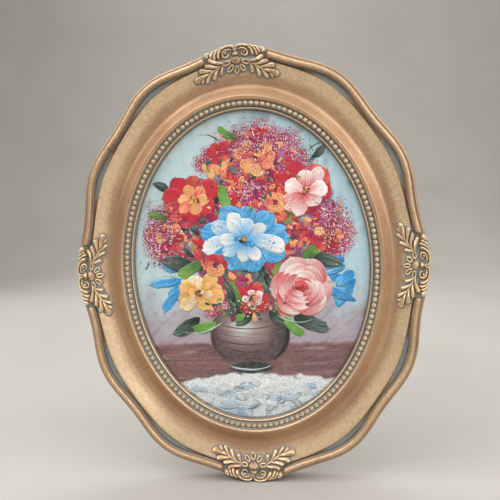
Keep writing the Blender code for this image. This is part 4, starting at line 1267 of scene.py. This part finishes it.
def metalFinish(name, bright, dull, stain, brushing):
    # Plated sheet metal: rolling marks, dull patches, and stains in the corners of the noise
    n = Nodes(name)
    patch = n.noise(260, 4, 0.6)
    rolled = n.noise(900, 3, 0.6, stretch=brushing)
    spots = n.noise(520, 5, 0.7)
    colour = n.mix(n.span(patch, 0.35, 0.65), hardware[bright], hardware[dull])
    colour = n.mix(n.span(rolled, 0.4, 0.75, 0.0, 0.35), colour, hardware[dull])
    stained = n.span(n.math("ADD", spots, n.span(patch, 0.3, 0.7, -0.04, 0.04)), 0.66, 0.74, smooth=True)
    colour = n.mix(stained, colour, hardware[stain])
    rough = n.math("ADD", n.span(patch, 0.3, 0.7, 0.3, 0.46), n.span(stained, 0.0, 1.0, 0.0, 0.3))
    n.set(Base_Color=colour, Roughness=rough, Metallic=n.span(stained, 0.0, 1.0, 0.95, 0.35),
          Normal=n.bump(n.math("ADD", rolled, n.math("MULTIPLY", stained, 0.7)), 0.04 * mm, 0.5))
    return n.material


def strokeFinish():
    n = Nodes("brushed_oil")
    streak = n.noise(1.0, 4.0, 0.6, where=n.attribute("bristle", vector=True))
    fine = n.noise(900, 3)
    colour = n.mix(n.span(streak, 0.4, 0.6, smooth=True), n.attribute("paintA", colour=True),
                   n.attribute("paintB", colour=True))
    colour = n.mix(n.span(fine, 0.35, 0.7, 0.0, 0.16), colour, (0.02, 0.02, 0.03))
    n.set(Base_Color=colour, Roughness=n.span(streak, 0.3, 0.7, 0.5, 0.34),
          Normal=n.bump(n.math("ADD", streak, n.math("MULTIPLY", fine, 0.3)), 0.35 * mm, 0.55))
    return n.material


def dabFinish():
    n = Nodes("stippled_oil")
    fine = n.noise(1100, 2)
    n.set(Base_Color=n.mix(n.span(fine, 0.3, 0.7, 0.0, 0.15), n.attribute("paintA", colour=True),
                           (0.03, 0.02, 0.03)),
          Roughness=0.42, Normal=n.bump(fine, 0.08 * mm, 0.5))
    return n.material


def groundFinish():
    n = Nodes("oil_ground")
    colour = n.attribute("paintA", colour=True)
    bristle = n.noise(420, 4, 0.6, stretch=(0.6, 1.0, 1.3))
    scumble = n.noise(700, 3, 0.6)
    colour = n.mix(n.span(bristle, 0.35, 0.7, 0.0, 0.1), colour, paints["mist"])
    colour = n.mix(n.span(scumble, 0.45, 0.75, 0.0, 0.12), colour, paints["umber"])
    body = n.math("MULTIPLY", bristle, 0.7)
    flecks = (("spray", 1050, 0.0, n.attribute("paintB", colour=True)),
              ("whites", 1250, 0.4, paints["white"]), ("darks", 1150, 0.7, paints["umber"]))
    for name, scale, slide, paint in flecks:
        moved = n.add("ShaderNodeMapping", {"Vector": n.coords, "Location": (slide, slide, slide)})
        grain = n.noise(scale, 2.0, 0.5, where=moved.outputs[0])
        share = n.math("SUBTRACT", grain, n.span(n.attribute(name), 0.0, 1.0, 0.76, 0.36))
        mask = n.span(share, 0.0, 0.035, smooth=True)
        colour = n.mix(mask, colour, paint)
        body = n.math("ADD", body, n.math("MULTIPLY", mask, 0.5))
    n.set(Base_Color=colour, Roughness=n.span(bristle, 0.3, 0.7, 0.55, 0.4),
          Normal=n.bump(body, 0.3 * mm, 0.6))
    return n.material


def hardboardFinish():
    # The panel behind the paint: brown hardboard, smooth in front and with its screen pattern on the back
    n = Nodes("hardboard")
    fibre = n.noise(700, 4, 0.65, stretch=(1.0, 1.0, 0.6))
    cloud = n.noise(25, 4)
    colour = n.mix(n.span(fibre, 0.3, 0.7), board["fibre"], board["paleFibre"])
    colour = n.mix(n.span(cloud, 0.4, 0.7, 0.0, 0.4), colour, board["darkCloud"])
    place = n.add("ShaderNodeSeparateXYZ", {"Vector": n.coords}).outputs
    screen = n.math("MULTIPLY", *[n.math("SINE", n.math("MULTIPLY", place[way], board["screen"]))
                                  for way in ("X", "Z")])
    n.set(Base_Color=n.mix(n.span(screen, 0.2, 1.0, 0.0, 0.35), colour, board["screenMark"]),
          Roughness=n.span(fibre, 0.3, 0.7, 0.9, 0.75),
          Normal=n.bump(n.math("ADD", n.math("MULTIPLY", screen, 0.4), fibre), 0.2 * mm, 0.6))
    return n.material


def floorFinish():
    n = Nodes("pale_floor")
    cloud = n.noise(3.0, 3)
    n.set(Base_Color=n.mix(n.span(cloud, 0.35, 0.65), *studio["floorShades"]),
          Roughness=n.span(cloud, 0.3, 0.7, 0.75, 0.65), Normal=n.bump(n.noise(900, 2), 0.1 * mm, 0.2))
    return n.material


# Making it

print("moulded ring")
giltMaterial = gildedFinish()
ringPiece = makeRing()
cutBack(ringPiece)
pick(ringPiece)
bpy.ops.object.shade_smooth_by_angle(angle=math.radians(ring["shadeAngle"]))
ringPiece.data.materials.append(giltMaterial)
ride(ringPiece, "gilt_resin", "frame")

print("carved ornaments")
for quarter, word in enumerate(("right", "top", "left", "bottom")):
    piece = makeOrnament(f"ornament_{word}", quarter)
    piece.data.materials.append(giltMaterial)
    ride(piece, "gilt_resin")

print("bead course")
beads = makeBeads()
beads.data.materials.append(giltMaterial)
ride(beads, "gilt_resin")

print("painted board")
boardPiece = makeBoard()
boardPiece.data.materials.append(hardboardFinish())
ride(boardPiece, "painted_board", "painting_board")
groundPiece = makeGround()
groundPiece.data.materials.append(groundFinish())
ride(groundPiece, "painted_board")

print("painted bouquet")
oil = strokeFinish()


def families(words):
    # Each family's paints, set apart by commas: two streaks at a stroke's start, and two at its end
    return tuple(tuple(part.split()) for part in words.split(", "))


bouquet = {
    "pinks": families("rose red white blush, red rose blush white, rose blush white white, "
                      "rose red rose white"),
    "reds": families("crimson red red red, red crimson coral red, red red red crimson"),
    "magentas": families("magenta plum magenta lilac, plum magenta crimson magenta"),
    "corals": families("coral red peach coral, peach coral orange peach, coral peach lemon peach"),
    "blues": families("azure deepBlue sky azure, azure azure azure sky, deepBlue azure azure sky"),
    "whites": families("azure sky white white, azure sky white sky, sky azure mist white"),
    "golds": families("ochre orange lemon peach, orange ochre peach lemon, ochre peach lemon white"),
    "greens": families("pine black pine sage, black pine sage pine, black black pine sage"),
    "fresh": families("leaf pine leaf lime, leaf lime leaf leaf"),
    "cloth": families("cloth white, clothBlue cloth, slate cloth, cloth mist"),
    # root, tip, width, family and number of each leaf: those that the blooms partly cover, and a few
    # tucked in last between the yellow and the red bloom
    "leaves": (
        ((-44, 2), (-74, 8), 13, "greens", 0), ((-40, 4), (-58, -6), 9, "fresh", 0),
        ((-44, -40), (-66, -54), 12, "greens", 2), ((-30, -44), (-50, -48), 9, "fresh", 1),
        ((34, -40), (60, -52), 11, "greens", 0), ((26, -42), (40, -56), 7, "fresh", 1),
        ((46, 2), (72, -2), 12, "greens", 1), ((44, 4), (60, 14), 9, "fresh", 0),
        ((-24, 52), (-34, 70), 13, "greens", 1), ((-16, 48), (-22, 66), 8, "fresh", 1),
        ((22, 48), (34, 64), 12, "greens", 2), ((28, 46), (46, 42), 9, "fresh", 0),
        ((-62, 62), (-76, 70), 7, "greens", 1), ((52, 84), (62, 94), 6, "greens", 0),
        ((-6, 102), (-20, 112), 6, "fresh", 0), ((0, -38), (-14, -48), 8, "greens", 0),
        ((14, -36), (26, -46), 8, "greens", 1), ((-66, 40), (-80, 46), 6, "fresh", 0),
    ),
    "smallLeaves": (
        ((-8, -38), (-20, -20), 7, "greens", 0), ((-10, -36), (-24, -36), 7, "greens", 1),
        ((-8, -32), (-14, -14), 6, "fresh", 0), ((-14, -30), (-22, -10), 6, "greens", 2),
        ((-6, -40), (-14, -44), 6, "fresh", 1),
    ),
    # centre, size and paints of each bloom's eye
    "eyes": (
        ((-4, 21), 3.6, families("orange ochre, lemon orange, umber pine")),
        ((-44, 55), 2.8, families("lemon orange, umber ochre")),
        ((46, 58), 2.8, families("lemon ochre, crimson umber")),
        ((8, 86), 2.6, families("lemon orange, red crimson")),
        ((-42, -20), 2.8, families("umber ochre, white lemon")),
        ((1, -26), 2.4, families("lemon ochre, umber brown")),
        ((62, 20), 2.2, families("lemon orange")), ((-64, 26), 2.2, families("lemon orange")),
    ),
    # thin stems and tendrils
    "tendrils": (
        ((58, -8), (74, 0), (84, -8)), ((60, -14), (70, -14), (82, -24)), ((-60, 44), (-74, 52), (-84, 44)),
        ((-58, -8), (-72, -2), (-82, -10)), ((20, -40), (34, -50), (48, -44)),
        ((-24, -44), (-40, -56), (-56, -52)), ((-20, 100), (-28, 108), (-36, 106)),
        ((50, 90), (58, 98), (66, 94)),
    ),
    # level, reach, paints and width of the lines round the pot's belly
    "potLines": ((0.3, 0.8, ("brown", "umber"), 0.8), (0.02, 0.86, ("stone", "brown"), 0.7),
                 (-0.24, 0.8, ("brown", "umber"), 0.9), (-0.5, 0.62, ("umber", "brown"), 0.9)),
}


def paintPot(canvas):
    # Thin curved lines round the pot's belly, dark sides, and a pale line on the foot
    px, pz = ground["potCentre"]
    wide, tall = ground["potHalf"]
    for level, reach, shades, width in bouquet["potLines"]:
        half, up = wide * reach, pz + tall * level
        path = ((px - half, up + 2.5), (px - half * 0.45, up - 4.5),
                (px + half * 0.45, up - 4.5), (px + half, up + 2.5))
        canvas.stroke(path, width, shades, "trail", 0.12, form="line", ragged=0.02)
    for side in (-1, 1):
        path = ((px + side * wide * 0.9, pz + tall * 0.5), (px + side * wide * 1.02, pz + 2),
                (px + side * wide * 0.98, pz - 12), (px + side * wide * 0.55, pz - tall * 0.92))
        shades = ("umber", "black") if side > 0 else ("brown", "umber")
        canvas.stroke(path, 3.2, shades, "leaf", 0.16, ragged=0.03)
    path = ((px - 17, pz - 26), (px - 4, pz - 30.5), (px + 8, pz - 30), (px + 16, pz - 26))
    canvas.stroke(path, 1.6, ("mist", "sage"), "trail", 0.35, form="line")


def paintFillers(canvas, places, size, colours, heading=None, thick=(0.2, 0.45)):
    # Short loose strokes between the blooms: centre, spread and count of each place
    for centre, spread, count in places:
        for number in range(count):
            spot = spotIn(centre, spread)
            length = chance.uniform(*size)
            way = (heading if heading is not None else chance.uniform(0, 360)) + chance.normal(0, 25)
            path = shortPath(spot, way, length, 90, length * chance.uniform(-0.2, 0.2))
            shades = colours[int(chance.integers(len(colours)))]
            profile = ("dab", "knife", "petal")[int(chance.integers(3))]
            canvas.stroke(path, length * chance.uniform(0.35, 0.6), shades, profile, chance.uniform(*thick),
                          form="narrow", ragged=0.13)


def finishStrokes(canvas, name):
    ride(canvas.gather(name, oil), "painted_board")


def paintBouquet(canvas):
    pinks, reds, magentas, corals, blues, whites, golds, greens, fresh = (bouquet[name] for name in (
        "pinks", "reds", "magentas", "corals", "blues", "whites", "golds", "greens", "fresh"))

    # beds of loose strokes
    paintFillers(canvas, (((0, 26), (58, 42), 90), ((0, -22), (44, 20), 26), ((2, 62), (44, 30), 60)),
                 (6, 13), magentas + reds + greens + corals)
    paintFillers(canvas, (((-66, -14), (14, 15), 7), ((67, -14), (10, 15), 8)), (13, 22), blues, 200)
    paintFillers(canvas, (((26, 78), (18, 18), 20), ((-40, 44), (22, 16), 20), ((58, 16), (14, 20), 14),
                          ((-58, 20), (14, 18), 14), ((2, 102), (18, 10), 12), ((44, 18), (20, 20), 26),
                          ((30, 34), (14, 12), 12)), (3.5, 8), corals + reds + magentas)
    # thin scumbles on the cloth, and dry scratches in the sky
    paintFillers(canvas, (((0, -104), (56, 11), 44),), (6, 15), bouquet["cloth"], 8, (0.05, 0.15))
    for number in range(26):
        centre = (54, 86) if number < 15 else (-82, 6)
        spot = polar(centre, chance.uniform(0, 360), chance.uniform(0, 9), 0.7)
        path = (spot, polar(spot, 238 + chance.normal(0, 14), chance.uniform(2.5, 6)))
        canvas.stroke(path, chance.uniform(0.4, 0.7), ("slate", "umber"), "trail", 0.12, form="line")
    for root, tip, width, family, number in bouquet["leaves"]:
        bend = chance.uniform(-0.28, 0.28)
        profile = "knife" if chance.uniform(0, 1) < 0.5 else "leaf"
        paintLeaf(canvas, root, tip, width, bouquet[family][number], bend, 0.5, profile)
    finishStrokes(canvas, "leaf_strokes")
    # blooms, from the back ones to the front ones
    paintBloom(canvas, (-46, 56), 23, 7, reds, 0.85, 20, width=0.75)
    paintBloom(canvas, (-44, 55), 15, 6, corals, 0.8, 50, width=0.7)
    paintBloom(canvas, (44, 62), 24, 6, reds, 0.85, -20, width=0.8)
    paintBloom(canvas, (46, 58), 21, 7, pinks, 0.75, 35, start=15, width=0.66)
    paintBloom(canvas, (8, 86), 17, 7, corals, 0.85, 10, width=0.7)
    paintBloom(canvas, (-22, 92), 10, 5, reds, 0.85, 40, width=0.8)
    paintBloom(canvas, (62, 20), 13, 6, corals + reds, 0.85, 10, width=0.7)
    paintBloom(canvas, (-64, 26), 13, 6, corals + reds, 0.9, 60, width=0.7)
    paintBloom(canvas, (-4, 22), 36, 9, blues, 0.8, -8, start=10, width=0.56, thick=0.6)
    paintBloom(canvas, (-4, 22), 33, 10, blues + whites, 0.78, 8, width=0.44, thick=0.6)
    paintBloom(canvas, (-4, 21), 23, 8, whites, 0.8, 12, start=20, width=0.52, thick=0.6)
    paintMass(canvas, (-4, 21), (6, 5), 8, 7, (("azure", "deepBlue"), ("sky", "azure")))
    paintBloom(canvas, (-42, -20), 21, 8, golds, 0.75, 10, width=0.6)
    paintBloom(canvas, (-42, -20), 12, 6, golds[1:], 0.75, 40, width=0.6)
    paintBloom(canvas, (0, -26), 15, 7, reds, 0.8, 0, width=0.75)
    paintBloom(canvas, (1, -26), 9, 5, pinks, 0.8, 30, width=0.7)
    paintMass(canvas, (40, -18), (12, 10), 9, 13, reds + pinks, 20)
    paintRose(canvas, (40, -18), 23, pinks, turns=4)
    paintMass(canvas, (40, -18), (3.5, 3), 8, 6.5, (("red", "crimson"), ("rose", "red")), 20, thick=0.55)
    paintRose(canvas, (-28, 2), 9, reds + corals)
    paintMass(canvas, (-28, 2), (2, 2), 3, 3.5, (("crimson", "plum"),), 20)
    paintRose(canvas, (22, 50), 8, corals)
    paintMass(canvas, (22, 50), (2, 2), 3, 3.5, (("red", "crimson"),), 20)
    for centre, size, shades in bouquet["eyes"]:
        paintMass(canvas, centre, (size * 1.3, size), 9, size, shades, thick=0.5)
    for root, tip, width, family, number in bouquet["smallLeaves"]:
        paintLeaf(canvas, root, tip, width, bouquet[family][number], chance.uniform(-0.2, 0.2))
    # single touches over everything
    paintFillers(canvas, (((6, 98), (30, 14), 22), ((-66, 34), (16, 22), 16), ((64, 32), (16, 20), 16),
                          ((0, 64), (44, 24), 16)), (2.0, 4.5), magentas + corals + (("white", "blush"),))
    paintFillers(canvas, (((0, -34), (50, 10), 12), ((0, 66), (60, 20), 10)), (2.5, 5), fresh + greens)
    for points in bouquet["tendrils"]:
        shades = ("aqua", "lime") if points[0][1] < 20 else ("pine", "sage")
        canvas.stroke(points, 1.0, shades, "trail", 0.3)


canvas = Canvas()
paintPot(canvas)
paintBouquet(canvas)
finishStrokes(canvas, "bouquet_strokes")
for form in canvas.forms.values():
    bpy.data.objects.remove(form)

berry = ("magenta", "plum", "white", "magenta", "crimson", "magenta", "lilac")
dabs = makeDabs("stippled_dabs", (
    ((8, 96), (34, 22), 700, (0.22, 0.6), berry),
    ((-66, 28), (21, 32), 700, (0.22, 0.6), berry),
    ((64, 28), (20, 30), 640, (0.22, 0.6), berry),
    ((0, 60), (50, 34), 140, (0.25, 0.6), ("white", "lilac", "peach", "crimson", "plum")),
    ((0, -34), (50, 12), 140, (0.25, 0.7), ("lemon", "white", "umber", "leaf")),
    ((0, -104), (64, 15), 460, (0.2, 0.55), ("cloth", "mist", "cloth", "clothBlue", "white", "cloth")),
))
dabs.data.materials.append(dabFinish())
ride(dabs, "painted_board")

print("hardware")
steel = metalFinish("zinc_steel", "steel", "steelDull", "rust", (1.0, 1.0, 0.25))
brass = metalFinish("brass_plate", "brass", "brassDull", "tarnish", (0.2, 1.0, 1.0))
for name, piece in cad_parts.items():
    if name.startswith(("hanger", "retaining")):
        finish = brass if name == "hanger" else steel
        for slot in piece.material_slots:
            slot.material = finish

# Studio

print("studio")
studio = {
    "floorReach": 2.2, "wallHeight": 3.2, "corner": 1.0, "floorShades": ("#b9b6b0", "#b2afa9"),
    "world": "#eceae6", "worldStrength": 0.15,
    "aim": (0.0, 0.0, -0.16), "lampReach": 1.4,
    # degrees to the right of the picture's front, degrees above level, size and power
    "lamps": (("right_window", 48, 25, 1.0, 10.9), ("overhead", -6, 62, 1.4, 10.6),
              ("left_fill", -58, 44, 1.3, 13.2), ("back_left", 215, 30, 1.2, 5.0),
              ("back_right", 140, 40, 1.2, 5.0)),
    # place, what it is aimed at, size and power
    "wallLamp": ((0.0, 0.9, 1.9), (0.0, 1.9, 0.1), 1.2, 20.0),
    "lens": 43.2, "sensor": 36.0,
    "cameraSpot": (0.04908, -0.48342, -0.11406),
    "cameraRight": (0.99404732, 0.09880552, -0.04590626),
    "cameraUp": (0.03882742, 0.07241238, 0.99661872),
    "cameraBack": (0.10179562, -0.9924686, 0.06814497),
}
deselectAll()
bpy.ops.mesh.primitive_plane_add(size=2 * studio["floorReach"], location=(0, 0, cadBox[0].z))
floor = nameIt("floor")
settle(floor)
pick(floor)
# the edges are drawn up into a backdrop all round, with round corners
bpy.ops.object.mode_set(mode="EDIT")
bpy.ops.mesh.select_mode(type="EDGE")
bpy.ops.mesh.select_all(action="SELECT")
bpy.ops.mesh.extrude_edges_move(TRANSFORM_OT_translate={"value": (0, 0, studio["wallHeight"])})
bpy.ops.object.mode_set(mode="OBJECT")
corner = floor.modifiers.new("corner", "BEVEL")
corner.width, corner.segments, corner.limit_method = studio["corner"], 16, "ANGLE"
bpy.ops.object.modifier_apply(modifier=corner.name)
bpy.ops.object.shade_smooth()
floor.data.materials.append(floorFinish())

world = bpy.data.worlds.new("soft_room")
bpy.context.scene.world = world
world.use_nodes = True
background = world.node_tree.nodes["Background"]
background.inputs[0].default_value = (*linear(studio["world"]), 1.0)
background.inputs[1].default_value = studio["worldStrength"]


def addLamp(name, place, aim, size, power):
    bpy.ops.object.light_add(type="AREA", location=place)
    lamp = bpy.context.object
    lamp.name = name
    lamp.data.size = size
    lamp.data.energy = power
    lamp.rotation_euler = (Vector(aim) - Vector(place)).to_track_quat("-Z", "Y").to_euler()


for name, side, rise, size, power in studio["lamps"]:
    turned, up = math.radians(side), math.radians(rise)
    away = Vector((math.sin(turned) * math.cos(up), -math.cos(turned) * math.cos(up), math.sin(up)))
    aim = Vector(studio["aim"])
    addLamp(name, aim + away * studio["lampReach"], aim, size, power)
addLamp("wall_lamp", *studio["wallLamp"])

bpy.ops.object.camera_add()
camera = bpy.context.object
camera.name = "photo_view"
camera.data.lens = studio["lens"]
camera.data.sensor_width = studio["sensor"]
camera.data.clip_start, camera.data.clip_end = 0.01, 50.0
turnMatrix = Matrix([studio["cameraRight"], studio["cameraUp"], studio["cameraBack"]]).transposed()
camera.matrix_world = Matrix.Translation(studio["cameraSpot"]) @ turnMatrix.to_4x4()
bpy.context.scene.camera = camera
bpy.context.scene.view_settings.view_transform = "Standard"

for piece in [thing for thing in bpy.data.objects if thing.type == "MESH"]:
    print(piece.name, sum(len(face.vertices) - 2 for face in piece.data.polygons), "triangles")
